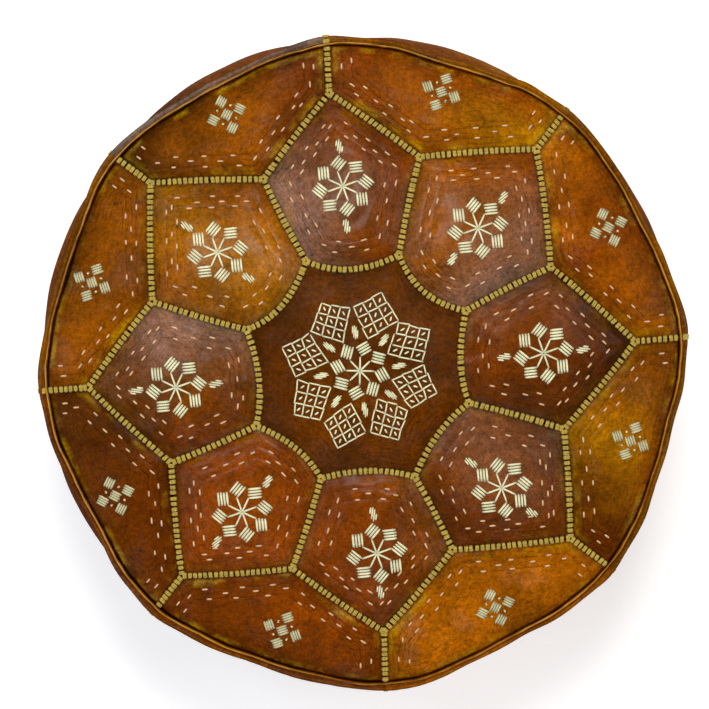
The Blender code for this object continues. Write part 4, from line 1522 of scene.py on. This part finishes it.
def zip_metal(name, bright, tarnish):
    """Old brass: tarnished in patches, scratched, and worn bright in places."""
    g = Graph(name, Metallic=1.0)
    patches = g.cloud(180.0, 0.0, 1.0, (0.38, 0.62), 6.0, 0.7)
    scratches = g.noise(1500.0, 2.0, 0.4, 3.0)
    value = g.span(scratches, 0.35, 0.65, 0.86, 1.08)
    colour = g.tinted(g.mix(patches, linear(bright), linear(tarnish)), value)
    return g.finish(colour, g.span(patches, 0.0, 1.0, 0.22, 0.46), g.bump(scratches, 0.00008, 0.5))


def wear(piece, material, slot, *nodes):
    """Gives a piece its material and the body it rides; it may stand for CAD nodes. Its slot is not used.
    """
    piece.data.materials.clear()
    piece.data.materials.append(material)
    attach(piece, BODY)
    if nodes:
        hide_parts(*nodes)


STAR_LEATHER = dyed_leather("star_leather", STAR_DYES)
wear(LEATHERS["star_leather"], STAR_LEATHER, "star_leather", "star_panel")
for k in range(PANELS):
    for kind, (dyes, *look) in PANEL_LOOKS.items():
        name = f"{kind}_leather_{k + 1}"
        leather = dyed_leather(name, dyes[k], *look)
        wear(LEATHERS[name], leather, f"{kind}_leather", f"{kind}_panel_{k + 1}")
BASE_LEATHER = dyed_leather("base_leather", BASE_DYES)
for word in ("left", "right"):
    wear(LEATHERS[f"base_leather_{word}"], BASE_LEATHER, "base_leather", f"base_panel_{word}")
PIPING = piping_leather()
wear(TOP_PIPING, PIPING, "piping_leather", "top_welt")
wear(BASE_PIPING, PIPING, "piping_leather", "base_welt")
COTTON = woven("liner_cotton", (214, 203, 180), (150, 138, 112), 2400.0)
wear(LINER, COTTON, "liner_cotton", "liner_bag", "filling")

SILKS = {name: silk_thread(name, *look) for name, look in SILK_LOOKS.items()}
for name, (strands, silk, nodes) in thread_plan().items():
    wear(thread_piece(name, strands), SILKS[silk], "seam_thread", *nodes)

BRASS = zip_metal("zip_brass", (214, 172, 92), (126, 92, 44))
TAPE = woven("zip_tape", (92, 62, 34), (48, 30, 15), 3000.0)
for name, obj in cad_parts.items():
    if name.startswith("zip_"):
        obj.data.materials.clear()
        obj.data.materials.append(TAPE if "tape" in name else BRASS)


# ---------------- stage, light and camera


def make_floor():
    """A plain pale floor that shines a little of its own light."""
    places = [(x * FLOOR_HALF, y * FLOOR_HALF, 0) for x, y in ((-1, -1), (1, -1), (1, 1), (-1, 1))]
    floor = new_mesh_object("floor", places, [(0, 1, 2, 3)])
    g = Graph("floor_paint", Emission_Color=(1.0, 1.0, 1.0, 1.0), Emission_Strength=0.34)
    colour = g.tinted(linear((250, 250, 250)), g.cloud(2.0, 0.99, 1.0, detail=2.0))
    floor.data.materials.append(g.finish(colour, 0.9, g.bump(g.noise(400.0), 0.0001, 0.1)))


def add_light(name, azimuth, elevation, distance, size, power, colour):
    """A soft square light aimed at the pouf's top."""
    data = bpy.data.lights.new(name, "AREA")
    data.size = size
    data.energy = power
    data.color = colour
    light = bpy.data.objects.new(name, data)
    a, e = math.radians(azimuth), math.radians(elevation)
    way = Vector((math.cos(e) * math.cos(a), math.cos(e) * math.sin(a), math.sin(e)))
    light.location = -DOWN * WELT_HEIGHT + way * distance
    light.rotation_euler = way.to_track_quat("Z", "Y").to_euler()
    bpy.context.scene.collection.objects.link(light)


def make_sky():
    """An even, slightly cool sky."""
    world = bpy.data.worlds.new("studio")
    world.use_nodes = True
    background = world.node_tree.nodes["Background"]
    background.inputs["Color"].default_value = (0.97, 0.98, 1.0, 1.0)
    background.inputs["Strength"].default_value = 0.34
    bpy.context.scene.world = world


def make_camera():
    """Looks almost straight down, as the photograph does, turned so that petal 1 is at the right."""
    data = bpy.data.cameras.new("camera")
    data.lens = LENS
    camera = bpy.data.objects.new("camera", data)
    bpy.context.scene.collection.objects.link(camera)
    right = outward(VIEW_TURN)
    up = Vector((-right.y, right.x, 0.0))
    lean = right * math.cos(VIEW_LEAN) + up * math.sin(VIEW_LEAN)
    back = lean * math.sin(VIEW_TILT) - DOWN * math.cos(VIEW_TILT)
    right = (right - back * right.dot(back)).normalized()
    up = back.cross(right)
    place = -DOWN * WELT_HEIGHT + back * VIEW_DISTANCE + (up - right) * FRAME_SHIFT
    camera.matrix_world = Matrix(((*right, 0), (*up, 0), (*back, 0), (*place, 1))).transposed()
    bpy.context.scene.camera = camera


make_floor()
for light in LIGHTS:
    add_light(*light)
make_sky()
make_camera()
bpy.context.scene.view_settings.view_transform = "Standard"
